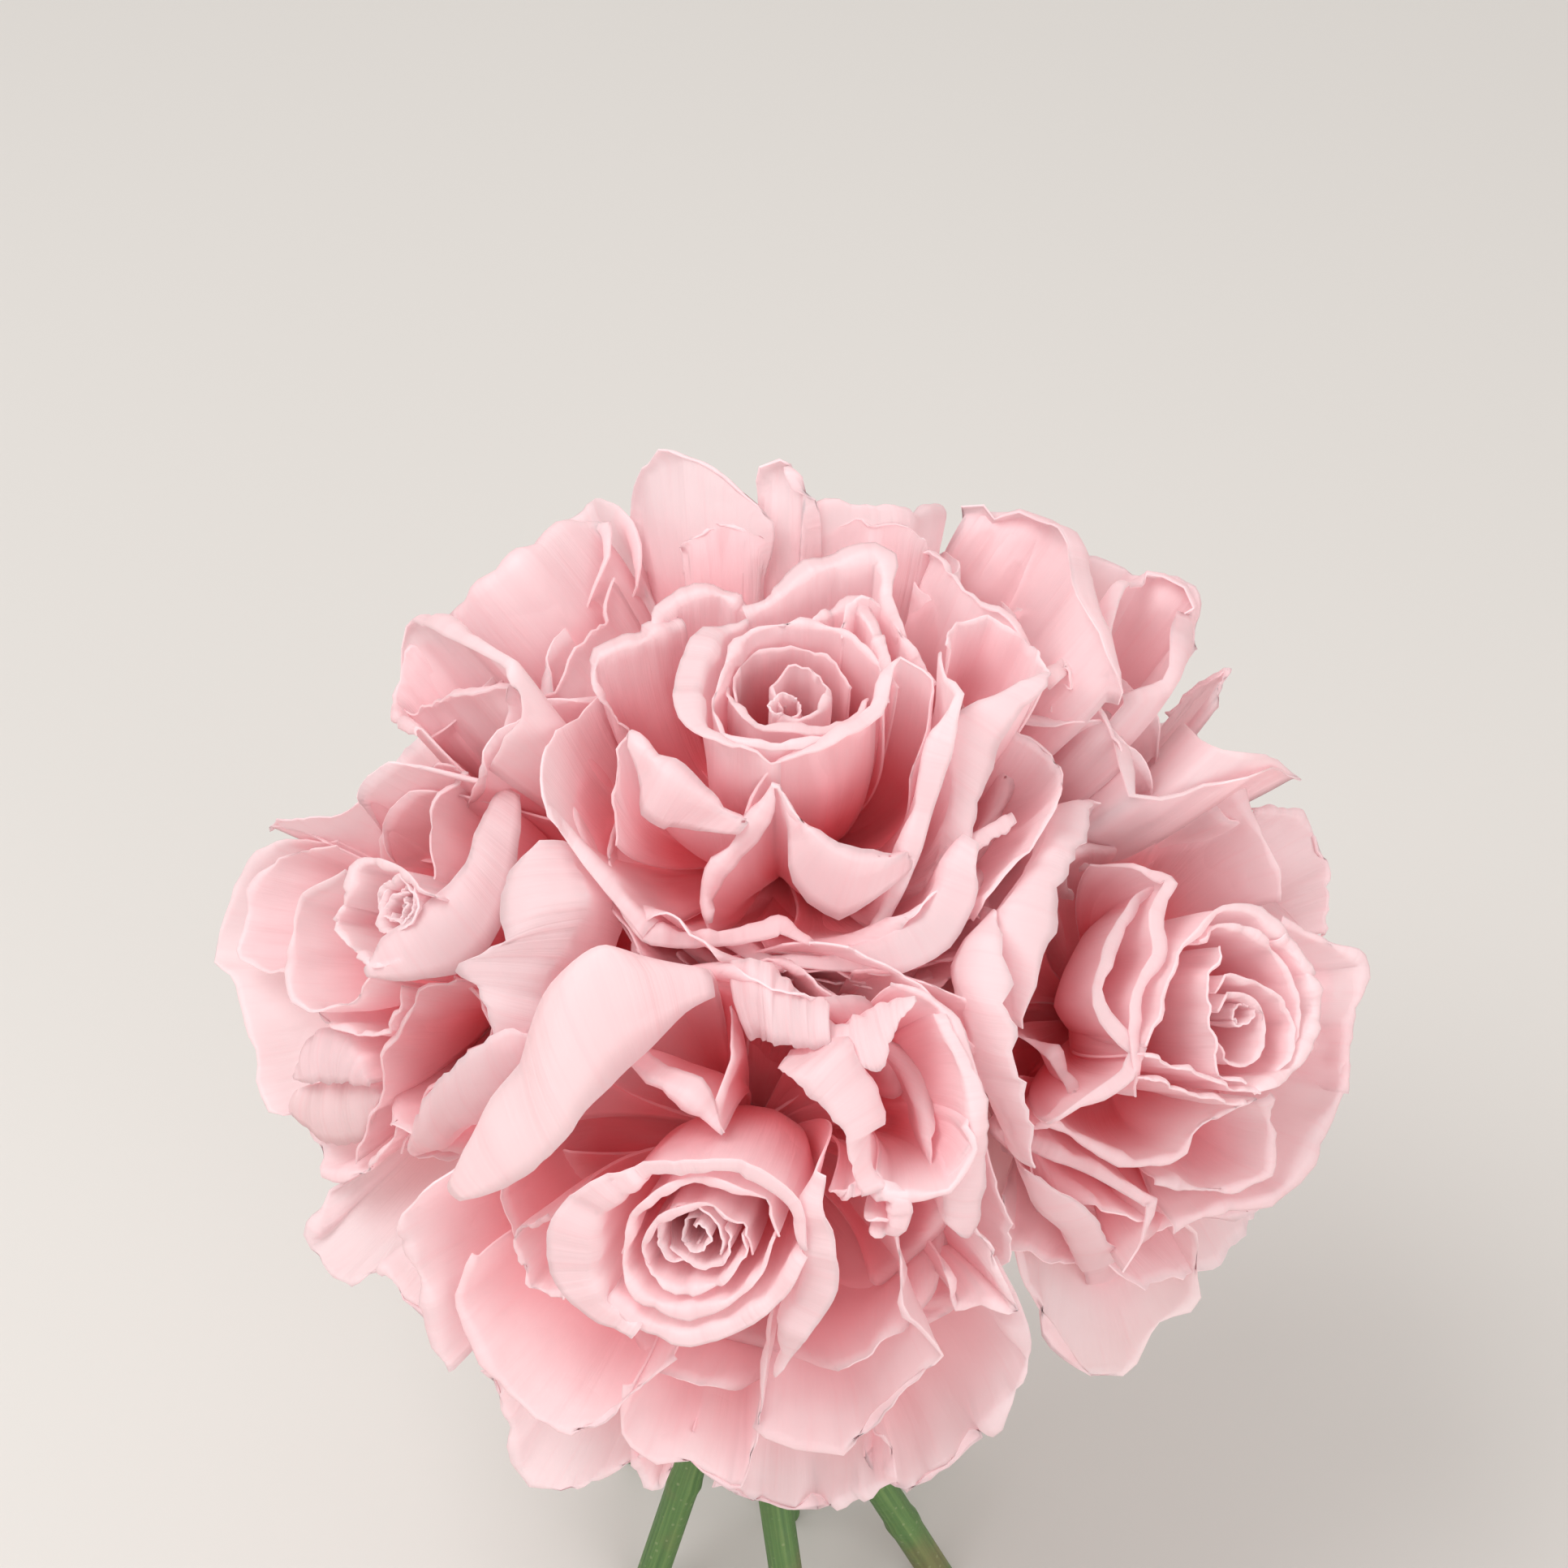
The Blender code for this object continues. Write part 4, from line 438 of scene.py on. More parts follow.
PETALS["back_left"] = (
    shell((500, 872, 80), (500, 805, 86), (520, 770, 91, 3), (548, 764, 92, 4), (600, 790, 92, 4),
        (648, 815, 92, 4), (672, 850, 90, 4), (664, 892, 86, 3), (632, 936, 80, 2), (605, 960, 76),
        roll=(1.6, 110)),
    shell((500, 880, 78), (560, 866, 82, 2), (606, 848, 84, 3), (636, 850, 83, 2), (628, 905, 78),
        roll=(1.2, 110)),
    shell((736, 810, 74), (738, 745, 82, 3), (743, 690, 88, 4), (736, 652, 92, 4), (700, 655, 94, 4),
        (645, 695, 94, 4), (592, 740, 92, 4), (560, 770, 90, 2)),
    shell((800, 810, 70), (794, 720, 82, 3), (776, 655, 90, 4), (758, 628, 93, 4), (730, 635, 93, 3),
        (690, 655, 91), (600, 720, 88)),
    shell((640, 900, 70), (690, 850, 78), (720, 812, 80), (745, 770, 80), (760, 720, 84, 2), lip=2,
        roll=(1.2, 110)),
    rim((570, 780, 80), (505, 800, 84), (490, 860, 84), (520, 900, 84), lip=2, from_centre=True),
)
PETALS["left"] = (
    bud((430, 1118, 43.5), (418, 1136, 43.5, 1), (440, 1166, 43.5, 1), (468, 1186, 43.5, 1.5),
        (500, 1180, 42), roll=(.7, 100)),
    bud((535, 1112, 43), (522, 1098, 43.5, 1), (500, 1080, 44, 1.5), (470, 1067, 44, 1.5), (445, 1070, 44, 2),
        (436, 1105, 44, 2), (416, 1136, 43.5, 1), roll=(.7, 100)),
    rim((448, 1193, 44.5), (458, 1178, 44.5), (470, 1158, 44), (500, 1135, 43), (530, 1110, 41.5),
        (560, 1085, 39.5), (580, 1052, 37), (590, 1020, 35), (620, 958, 29), free=((452, 1204, 44),
        (490, 1209, 42), (530, 1206, 39.5), (562, 1200, 37), (600, 1172, 35), (622, 1130, 34),
        (634, 1080, 33), (642, 1020, 32), (642, 975, 29.5)), sharp=.6, jag=.1),
    rim((430, 1075, 38), (400, 1090, 38), (374, 1112, 37, 1), (368, 1150, 36, 1), (361, 1190, 35, 1.5),
        (363, 1222, 35, 1.5), (385, 1241, 35, 1.5), (412, 1238, 35, 1), (445, 1220, 36, 1), (462, 1205, 38),
        roll=(.7, 100)),
    rim((392, 1240, 32), (415, 1262, 32, 1), (450, 1272, 32, 1), (485, 1268, 33, 1), (498, 1245, 34, 1),
        (492, 1215, 35), roll=(.7, 100)),
    rim((362, 1325, 27), (378, 1282, 28), (400, 1266, 28.5), (428, 1280, 29), (446, 1308, 29),
        (456, 1335, 28), free=((364, 1331, 27), (375, 1334, 28), (395, 1335, 28), (420, 1334, 28),
        (440, 1335, 28), (456, 1339, 27)), sharp=.6),
    rim((364, 1344, 24), (400, 1336, 25), (430, 1334, 25), (455, 1337, 25), (470, 1352, 24),
        free=((357, 1372, 21), (392, 1400, 20), (420, 1412, 20), (450, 1402, 21), (468, 1362, 23)), sharp=.6,
        pale=.9),
    rim((440, 1430, 18), (450, 1402, 21), (457, 1376, 23, 1), (470, 1352, 26, 1), (478, 1320, 28, 1),
        (484, 1293, 30, 1), (497, 1265, 32, 1.5), (506, 1240, 34, 1.5), (528, 1212, 36, 1), (562, 1203, 35),
        roll=(.7, 100), sharp=.6),
    rim((500, 1420, 18), (530, 1345, 22), (570, 1302, 25), (602, 1272, 26, 1), (598, 1240, 27, 1),
        (585, 1218, 28, 1), (562, 1204, 30), roll=(.7, 100)),
    rim((430, 1010, 24), (405, 1022, 24, 1), (350, 1040, 24, 2), (312, 1072, 24, 2), (290, 1112, 24, 2),
        (272, 1155, 24, 2), (268, 1180, 24, 1), (292, 1200, 24, 1), (306, 1245, 25, 2), (320, 1295, 24, 2),
        (325, 1340, 23, 2), (340, 1368, 22, 1), (362, 1366, 22), roll=(.9, 110), sharp=.5, pale=.3),
    rim((420, 1040, 28), (350, 1062, 28, 1), (318, 1095, 28, 2), (306, 1140, 28, 2), (300, 1175, 28, 1),
        (330, 1195, 28), (362, 1200, 29), roll=(.9, 110)),
    rim((545, 872, 24), (500, 866, 24, 2), (470, 876, 23, 2), (440, 886, 22, 2), (388, 890, 21, 3),
        (372, 925, 21, 3), (378, 950, 22, 2), (400, 975, 23, 1), (410, 1000, 24, 1), (409, 1026, 26),
        roll=(.9, 110), sharp=.5, pale=.3),
    rim((537, 1102, 36), (529, 1050, 35, 1), (527, 1010, 34, 1.5), (540, 985, 33, 1.5), (565, 960, 31, 2),
        (578, 925, 29, 2.5), (572, 902, 28, 2.5), (548, 872, 26, 1), (530, 868, 25), roll=(.8, 110),
        sharp=.5),
    rim((610, 1110, 26), (600, 1060, 27), (606, 1010, 28, 1), (636, 975, 27, 2), (622, 950, 26, 2),
        (600, 955, 26, 1), (585, 930, 26), roll=(.8, 110), sharp=.6),
    rim((362, 1372, 18), (395, 1402, 17, 1), (400, 1438, 17, 1), (428, 1446, 17, 1), (470, 1425, 20),
        (495, 1380, 24), ruffle=.5),
    rim((430, 1458, 12), (410, 1470, 12), (405, 1492, 12), (384, 1530, 12), (400, 1556, 12), (437, 1576, 13),
        (455, 1565, 14), (480, 1560, 16), (500, 1600, 15), (540, 1640, 14), lip=1, ruffle=.7, sharp=.6,
        pale=.4),
    rim((655, 1296, 70), (664, 1220, 71), (704, 1150, 71), (726, 1105, 71), (692, 1036, 72),
        free=((606, 1288, 73), (600, 1245, 75), (590, 1216, 75), (564, 1200, 75), (570, 1182, 75.5),
        (598, 1172, 76), (624, 1162, 76), (619, 1135, 76), (616, 1098, 76), (628, 1072, 76), (664, 1036, 75)),
        from_centre=True, sharp=.7, jag=.4, crease=.4),
    rim((512, 1425, 66), (540, 1412, 68), (575, 1380, 70), (612, 1345, 71), (645, 1310, 71), (662, 1288, 71),
        free=((508, 1392, 68), (520, 1362, 71), (548, 1322, 74), (588, 1290, 75), (628, 1266, 75),
        (655, 1276, 73)), from_centre=True, sharp=.6, crease=.4, pale=.3),
    rim((640, 1300, 12), (690, 1215, 13), (742, 1130, 14), (712, 1075, 15), (668, 1040, 17), (640, 1010, 18)),
)

# Whorls that no one petal of the photo settles: how many petals, the first one's direction, their spine as
# (radius, height), half width, how closely they hug the axis at foot and tip, their yaw, how round the tip
# is, and how they fold. side is how far out a shoulder's fold starts, how far it falls, and the fold's
# radius and angle; top is how far below the tip its fold starts, and that fold's radius and angle
WHORL = dict(side=(0, 0, 1, 0), top=(0, 1, 0), level=0.22, wave=0.25, ruffle=0.15, crease=0.12, jag=0.12,
             pale=0.0)
inner = partial(dict, n=3, hug=(1, 1), level=0.05)
SPIRAL = (
    inner(n=2, first=10, spine=((1, 19), (2, 28), (2.6, 36), (2.2, 42)), width=6.2, yaw=16,
          top=(0.03, 0.7, 60)),
    inner(first=60, spine=((2.5, 19), (4.4, 27), (5.2, 36), (4.9, 43)), width=9.5, yaw=11,
          top=(0.04, 0.8, 70)),
    inner(first=110, spine=((4, 18), (7, 26), (8.1, 36), (7.9, 44)), width=14.5, yaw=9,
          top=(0.05, 0.9, 80)),
    inner(first=35, spine=((6, 18), (10, 25), (11.2, 36), (11, 45)), width=19, yaw=8, level=0.06,
          top=(0.05, 1, 90)),
    inner(first=80, spine=((8, 16), (13.2, 23), (14.8, 36), (15.2, 45.5)), width=24, yaw=6, level=0.06,
          top=(0.07, 1, 110)),
)
FILL = (
    dict(n=6, first=10, spine=((3.5, 0.3), (18, 5), (28, 16), (34, 27)), width=23, hug=(1, 0.4), yaw=6,
         side=(0.1, 0.5, 1.5, 120), crease=0.3, ruffle=0.35, wave=0.6),
)
BACK = (
    dict(n=4, first=30, spine=((3.5, 0.5), (17.5, 9), (22, 30), (26, 44)), width=27, hug=(1, 0.6), yaw=5,
         side=(0.1, 0.5, 2, 130), ruffle=0.3, crease=0.3),
    dict(n=5, first=0, spine=((4, 0), (20, 7), (28, 25), (36, 38)), width=29, hug=(1, 0.4), yaw=5,
         side=(0.1, 0.5, 2.5, 135), ruffle=0.35, crease=0.35),
)
GUARD = (
    dict(n=7, first=15, spine=((4, 0), (17, 2), (27, 10), (34, 18)), width=22, hug=(1, 0.5), yaw=6,
         side=(0.1, 0.5, 1.0, 140), ruffle=0.4, wave=0.8, crease=0.4, jag=0.3),
    dict(n=6, first=40, spine=((4, -0.3), (20, 1), (33, 8), (44, 14)), width=27, hug=(0.9, 0.3), yaw=5,
         ruffle=0.5, wave=1.0, crease=0.7, jag=0.6, pale=0.2),
)

# How much a whorl's petals differ in direction, width, height and yaw, and the sizes that one may be made
TURN_CHANCE = 8
WIDER_CHANCE = 0.05
TALLER_CHANCE = 1.5
YAW_CHANCE = 2
SIZES = (1, 0.35, -0.05)


def smooth(low, high, x):
    t = np.clip((x - low) / (high - low), 0, 1)
    return t * t * (3 - 2 * t)


def unit(tilt, turn):
    """A direction, by its tilt from vertical and its turn in degrees."""
    p, a = math.radians(tilt), math.radians(turn)
    return np.array([math.sin(p) * math.cos(a), math.sin(p) * math.sin(a), math.cos(p)])


def ring(radius, angle, height):
    return np.stack([radius * np.cos(angle), radius * np.sin(angle), height], -1)


def about_axis(out, aside, turn, height):
    """Points by how far they lie out from the axis and aside, in a direction."""
    c, s = math.cos(turn), math.sin(turn)
    return np.stack([out * c - aside * s, out * s + aside * c, height], -1)


def normalised(vectors):
    return vectors / np.maximum(np.linalg.norm(vectors, axis=-1, keepdims=True), 1e-9)


def lengths(points):
    """How far along a line each of its points lies."""
    return np.concatenate([[0], np.cumsum(np.linalg.norm(np.diff(points, axis=0), axis=1))])


def bezier(t, a, b, c, d):
    return (1 - t) ** 3 * a + 3 * (1 - t) ** 2 * t * b + 3 * (1 - t) * t ** 2 * c + t ** 3 * d


def ridge(x):
    """A folded wave between -1 and 1, with creases instead of crests."""
    return 1 - 2 * np.abs(2 * ((x / (2 * math.pi)) % 1) - 1)


# The view's frame, and the dome's centre in the part's own frame
FOCAL = VIEW_SIDE / 2 / math.tan(math.radians(VIEW_ANGLE / 2))
EYE = VIEW_DISTANCE * unit(90 - VIEW_ELEVATION, -90)
FORWARD = -unit(90 - VIEW_PITCH, -90)
UPWARD = np.array([0, math.sin(math.radians(VIEW_PITCH)), math.cos(math.radians(VIEW_PITCH))])
CENTRE = np.array([DOME_SHIFT, 0, DOME_HEIGHT])


def place_roses():
    """Adds to each rose its axis, its base and its frame, whose second column leans to the view's up."""
    for rose in ROSES.values():
        axis = unit(*rose["axis"])
        up = UPWARD - UPWARD @ axis * axis
        up /= np.linalg.norm(up)
        rose["direction"] = axis
        rose["top"] = np.array(rose["cup"], float)
        rose["base"] = rose["top"] - HEAD_DEPTH * axis
        rose["frame"] = np.stack([np.cross(up, axis), up, axis], 1)
        rose["walls"] = []


def build_walls():
    """A wall between each pair of neighbours, halfway between their bases and between their cups."""
    pairs = [("top", name) for name in RING] + list(zip(RING, RING[1:] + RING[:1]))
    for k, (one, other) in enumerate(pairs):
        a, b = ROSES[one], ROSES[other]
        low, high = (a["base"] + b["base"]) / 2, (a["top"] + b["top"]) / 2
        along = (high - low) / np.linalg.norm(high - low)
        apart = (b["top"] - a["top"]) + (b["base"] - a["base"])
        normal = apart - apart @ along * along
        normal /= np.linalg.norm(normal)
        across = np.cross(normal, along)
        a["walls"].append((high, normal, across, 1, k))
        b["walls"].append((high, -normal, across, -1, k))


def beyond_wall(points, wall):
    """How far points lie beyond a rose's waved wall, in millimetres."""
    middle, normal, across, side, k = wall
    wave = side * WALL_WAVE * np.sin((points - middle) @ across * 2 * math.pi / WALL_WAVE_LENGTH + 1.7 * k)
    return (points - middle) @ normal - wave


def squeeze(grid, rose, depth):
    """Takes a grid from the rose's frame to the dome's and presses whatever nears a wall smoothly back from
    it, the inner petals further than the outer ones."""
    points = grid @ rose["frame"].T + rose["base"]
    gap = WALL_DEPTH * depth - WALL_CROSSING
    reach = gap + WALL_REACH
    for wall in rose["walls"]:
        d = beyond_wall(points, wall)
        pressed = -gap - WALL_REACH * np.exp(-(np.maximum(d, -reach) + reach) / WALL_REACH)
        points = points + (np.where(d > -reach, pressed, d) - d)[..., None] * wall[1]
    return points


def measured(rose, point, from_centre):
    """A measured point in the rose's own frame: where the view's ray meets its height or its distance."""
    x, y, depth = point[:3]
    ray = FORWARD + np.array([1, 0, 0]) * (x - VIEW_SIDE / 2) / FOCAL + UPWARD * (VIEW_SIDE / 2 - y) / FOCAL
    ray /= np.linalg.norm(ray)
    if from_centre:
        near = -(EYE @ ray)
        far = near - math.sqrt(max(0.0, depth ** 2 - (EYE @ EYE - near ** 2)))
    else:
        axis = rose["direction"]
        far = ((rose["base"] + depth * axis - EYE) @ axis) / (ray @ axis)
    return (EYE + far * ray - rose["base"]) @ rose["frame"]


def through(points, count, sharp):
    """A curve through points, from smooth (sharp 0) to straight runs (sharp 1), evenly spaced."""
    p = np.array(points, float)
    s = lengths(p[:, :3])
    t = np.linspace(0, s[-1], count)
    straight = np.stack([np.interp(t, s, column) for column in p.T], 1)
    slope = np.gradient(p, s, axis=0)
    k = np.clip(np.searchsorted(s, t, side="right") - 1, 0, len(s) - 2)
    h = (s[k + 1] - s[k])[:, None]
    x = (t - s[k])[:, None] / h
    curved = ((2 * x ** 3 - 3 * x ** 2 + 1) * p[k] + (x ** 3 - 2 * x ** 2 + x) * h * slope[k]
              + (3 * x ** 2 - 2 * x ** 3) * p[k + 1] + (x ** 3 - x ** 2) * h * slope[k + 1])
    return sharp * straight + (1 - sharp) * curved


def crumple(across, along, how, chance):
    """How far a petal's surface bends, frills and creases out of its smooth form."""
    p = chance.uniform(0, 2 * math.pi, 9)
    late = smooth(0.25, 0.9, along)
    near_rim = smooth(0.7, 1.0, along)
    bend = np.sin(2.6 * across + 3 * along + p[0]) + 0.6 * np.sin(6 * across - 4 * along + p[1])
    frill = np.sin(11 * across + 3 * along + p[2]) + 0.6 * np.sin(19 * across - 9 * along + p[3])
    crease = (ridge(7 * across + 2.2 * np.sin(3 * along + p[4]) + p[5])
              + 0.5 * ridge(15 * across - 5 * along + 1.5 * np.sin(5 * across + p[6]) + p[7])
              + 0.35 * near_rim * ridge(33 * across + 6 * along + p[8]))
    return how["wave"] * late * bend + how["ruffle"] * near_rim * frill + how["crease"] * late * crease


def fray(across, amount, chance):
    """How far a rim is nicked and drawn out along the petal."""
    p = chance.uniform(0, 2 * math.pi, 4)
    return amount * (ridge(17 * across + p[0]) + 0.7 * np.sin(9 * across + p[1])
                     + 0.5 * ridge(37 * across + p[2]) + 0.4 * np.sin(61 * across + p[3]))


def grid_normals(grid):
    return normalised(np.cross(np.gradient(grid, axis=1), np.gradient(grid, axis=0)))


def rim_petal(foot, how, placed, free, chance):
    """A petal from a height on the core to a measured rim, with its margin folded beyond the rim or,
    where its free edge is measured too, drawn from the rim to that edge."""
    curve = through(placed, COLUMNS + 1, how["sharp"])
    edge, fold = curve[:, :3], np.maximum(curve[:, 3], LEAST_MARGIN)
    u = np.linspace(-1, 1, COLUMNS + 1)
    radius = np.hypot(edge[:, 0], edge[:, 1])
    angle = np.unwrap(np.arctan2(edge[:, 1], edge[:, 0]))
    height = np.maximum(edge[:, 2], LEAST_HEIGHT)
    full = how["belly"] if how["belly"] is not None else np.interp(radius / height, OPENING, FULLNESS)
    middle = angle.mean()
    rise = height - foot
    base = ring(PETAL_FOOT, middle + (angle - middle) * FOOT_SPAN, np.full(len(angle), foot))
    belly = ring(full * radius, middle + (angle - middle) * BELLY_SPAN, foot + BELLY_RISE * rise)
    shoulder = ring((SHOULDER_FULL * full + (1 - SHOULDER_FULL)) * radius, angle, foot + SHOULDER_RISE * rise)
    upward = normalised(edge - shoulder)
    edge = edge + fray(u, how["jag"], chance)[:, None] * upward
    body = bezier(np.linspace(0, 1, ROWS + 1)[:, None, None], base, belly, shoulder, edge)
    tangent = normalised(np.gradient(curve[:, :3], axis=0))
    outward = normalised(np.cross(tangent, upward))
    onward = normalised(np.cross(outward, tangent))
    onward = onward * np.sign(np.sum(onward * upward, 1))[:, None]
    steps = np.arange(1, LIP_ROWS + 1)[:, None] / LIP_ROWS
    if free:
        end = through(free, COLUMNS + 1, how["sharp"]) + fray(u, how["jag"], chance)[:, None] * outward
        bulge = FREE_BULGE * np.linalg.norm(end - edge, axis=1) * np.sin(math.pi * steps)
        margin = edge * (1 - steps[..., None]) + end * steps[..., None] + bulge[..., None] * onward
    else:
        bend, turn = how["roll"][0], math.radians(how["roll"][1])
        reach = fold * steps ** 0.85
        arc = np.minimum(reach, bend * turn)
        rest = (reach - arc)[..., None]
        a = (arc / bend)[..., None]
        margin = (edge + bend * (np.sin(a) * onward + (1 - np.cos(a)) * outward)
                  + rest * (np.cos(a) * onward + np.sin(a) * outward))
    grid = np.concatenate([body, margin])
    across, along = np.meshgrid(u, np.append(np.linspace(0, 1, ROWS + 1), np.ones(LIP_ROWS)))
    calm = np.where(along < 1, 1, FREE_CALM if free else 1)
    grid = grid + (calm * crumple(across, along, how, chance))[..., None] * grid_normals(grid)
    return grid, across, along


def spine_curve(points):
    """A smooth curve through (radius, height) points, sampled by its length, with straight ends beyond both:
    how far along, radius, height and lean of each sample, and the curve's own length."""
    p = np.array(points, float)
    p = np.vstack([2 * p[0] - p[1], p, 2 * p[-1] - p[-2]])
    t = np.linspace(0, 1, 40, endpoint=False)[:, None]
    parts = []
    for a, b, c, d in zip(p, p[1:], p[2:], p[3:]):
        parts.append(0.5 * (2 * b + (c - a) * t + (2 * a - 5 * b + 4 * c - d) * t ** 2
                            + (3 * b - a - 3 * c + d) * t ** 3))
    curve = np.vstack(parts + [p[-2][None]])
    s = lengths(curve)
    length = s[-1]
    first, last = normalised(curve[3] - curve[0]), normalised(curve[-1] - curve[-4])
    curve = np.vstack([curve[0] - 0.15 * length * first, curve, curve[-1] + 0.3 * length * last])
    s = np.concatenate([[-0.15 * length], s, [1.3 * length]])
    q = np.linspace(s[0], s[-1], SPINE_SAMPLES)
    r, z = np.interp(q, s, curve[:, 0]), np.interp(q, s, curve[:, 1])
    lean = np.unwrap(np.arctan2(np.gradient(r), np.gradient(z)))
    return q, r, z, lean, length


def folded(x, y, h, start, outward, bend, turn):
    """Folds what lies beyond a line, by its start and outward normal, towards the back."""
    beyond = np.maximum(0, (x - start[0]) * outward[0] + (y - start[1]) * outward[1])
    arc = np.minimum(beyond, bend * turn)
    rest = beyond - arc
    onward = bend * np.sin(arc / bend) + rest * np.cos(arc / bend) - beyond
    back = bend * (1 - np.cos(arc / bend)) + rest * np.sin(arc / bend)
    return x + outward[0] * onward, y + outward[1] * onward, h - back


def whorl_petal(foot, how, chance):
    """A rounded petal that follows its spine and hugs the rose's axis, with folded shoulders or tip."""
    spine = [(how["spine"][0][0], max(how["spine"][0][1], foot))]
    spine += [(r, max(z, foot + BELLY_RISE * r)) for r, z in how["spine"][1:]]
    across, along = np.meshgrid(np.linspace(-1, 1, COLUMNS + 1), np.linspace(0, 1, ROWS + 1))
    width = how["width"]
    q, r, z, lean, length = spine_curve(spine)
    grow = WHORL_FOOT + (1 - WHORL_FOOT) * smooth(0, WHORL_WIDEST, along)
    x = across * width * grow * (1 - WHORL_NARROWS * smooth(WHORL_WIDEST, 1, along))
    drop = how["level"] * np.abs(across) ** TIP_POWER * smooth(TIP_START, 1, along)
    y = length * (along - drop) + fray(across, how["jag"], chance) * smooth(0.8, 1, along)
    h = np.zeros_like(x)
    cut, fall, bend, turn = how["side"]
    if turn:
        for side in (1, -1):
            run, lift = width * (1 - cut), -fall * length
            size = math.hypot(run, lift)
            outward = (side * -lift / size, run / size)
            x, y, h = folded(x, y, h, (side * cut * width, length), outward, bend, math.radians(turn))
    fall, bend, turn = how["top"]
    if turn:
        x, y, h = folded(x, y, h, (0, length * (1 - fall)), (0, 1), bend, math.radians(turn))
    h = h + crumple(across, along, how, chance)
    radius, height, tilt = (np.interp(y, q, values) for values in (r, z, lean))
    closest = CLOSEST if how["level"] > 0.1 else CLOSEST_INNER
    close = np.interp(y / length, (0, 1), how["hug"]) / np.maximum(radius, closest)
    angle = close * x
    yaw = math.radians(how["yaw"])
    inward = (1 - np.cos(angle)) / close - math.sin(yaw) * x + h * np.cos(angle)
    aside = np.sin(angle) / close * math.cos(yaw) - h * np.sin(angle)
    out = radius - inward * np.cos(tilt)
    return about_axis(out, aside, math.radians(how["turn"]), height + inward * np.sin(tilt)), across, along


def spread(groups, seed, size=1.0):
    """The petals of some whorls, each turned, widened and raised a little at random."""
    chance = np.random.default_rng(seed)
    petals = []
    for group in groups:
        steps = len(group["spine"]) - 1
        for k in range(group["n"]):
            turn = group["first"] + 360 * k / group["n"] + chance.uniform(-TURN_CHANCE, TURN_CHANCE)
            wider = chance.uniform(-WIDER_CHANCE, WIDER_CHANCE)
            taller = chance.uniform(-TALLER_CHANCE, TALLER_CHANCE)
            spine = [(r * size * (1 + wider * i / steps), z + taller * i / steps)
                     for i, (r, z) in enumerate(group["spine"])]
            petals.append({**WHORL, **group, "turn": turn, "spine": spine, "width": group["width"] * size,
                           "yaw": group["yaw"] + chance.uniform(-YAW_CHANCE, YAW_CHANCE)})
    return petals


def fitted(how, rose):
    """A whorl petal made smaller until its tip clears the walls, or None where hardly any room is left."""
    a = math.radians(how["turn"])
    r, z = how["spine"][-1]
    for size in np.arange(*SIZES):
        tip = rose["frame"] @ np.array([size * r * math.cos(a), size * r * math.sin(a), z]) + rose["base"]
        if max(float(beyond_wall(tip, wall)) for wall in rose["walls"]) < TIP_CROSSING:
            spine = [(radius * (1 + (size - 1) * k / (len(how["spine"]) - 1)), height)
                     for k, (radius, height) in enumerate(how["spine"])]
            return {**how, "spine": spine, "width": how["width"] * (1 + size) / 2}
    return None


def petals_of(name, rose):
    """Every petal of a rose, the most open ones first: its shape function, how open it is, how it is shaped
    and, for a measured one, its rim and its free edge."""
    outer = (BACK if name.startswith("back") else FILL) + GUARD
    whorls = [fitted(how, rose) for how in spread(outer, rose["seed"])]
    whorls = [how for how in whorls if how] + spread(SPIRAL[:rose["rings"]], rose["seed"], rose["bud"])
    petals = [(whorl_petal, how["spine"][-1][0] / how["spine"][-1][1], how, ()) for how in whorls]
    for how in PETALS[name]:
        placed = np.array([(*measured(rose, p, how["from_centre"]), p[3] if len(p) > 3 else how["lip"])
                           for p in how["points"]])
        opening = np.hypot(placed[:, 0], placed[:, 1]).mean() / placed[:, 2].mean()
        free = [measured(rose, p, how["from_centre"]) for p in how["free"]]
        petals.append((rim_petal, opening, how, (placed, free)))
    petals.sort(key=lambda petal: -petal[1])
    return petals


def slab(grid, along):
    """A closed petal: its vertices, its quads, and how many of them, the last ones, are its cut margin."""
    rows, columns = grid.shape[:2]
    count = rows * columns
    shift = grid_normals(grid) * ((THICK_FOOT + (THICK_RIM - THICK_FOOT) * along) / 2)[..., None]
    front, back = (grid + shift).reshape(-1, 3), (grid - shift).reshape(-1, 3)
    k = np.arange(count).reshape(rows, columns)
    quads = np.stack([k[:-1, :-1], k[:-1, 1:], k[1:, 1:], k[1:, :-1]], -1).reshape(-1, 4)
    border = np.concatenate([k[0, :-1], k[:-1, -1], k[-1, :0:-1], k[:0:-1, 0]])
    after = np.roll(border, -1)
    edge = np.stack([after, border, border + count, after + count], 1)
    faces = np.concatenate([quads, quads[:, ::-1] + count, edge]).tolist()
    return np.concatenate([front, back]), faces, len(edge)


def tube(points, radii, sides):
    """Rings of a tube along points; each radius is one number or one for each side."""
    along = normalised(np.gradient(points, axis=0))
    side = np.cross(along[0], (0.3, 0.9, 0.2))
    turns = np.arange(sides) * 2 * math.pi / sides
    rings = []
    for point, direction, radius in zip(points, along, radii):
        side = normalised(side - side @ direction * direction)
        other = np.cross(direction, side)
        rings.append(point + np.outer(radius * np.cos(turns), side) + np.outer(radius * np.sin(turns), other))
    return np.array(rings)


def tube_faces(rings):
    """The faces of a tube's rings, with its two ends closed."""
    count, sides = rings.shape[:2]
    k = np.arange(count * sides).reshape(count, sides)
    after = np.roll(k, -1, axis=1)
    quads = np.stack([k[:-1], after[:-1], after[1:], k[1:]], -1).reshape(-1, 4).tolist()
    return quads + [k[0, ::-1].tolist(), k[-1].tolist()]


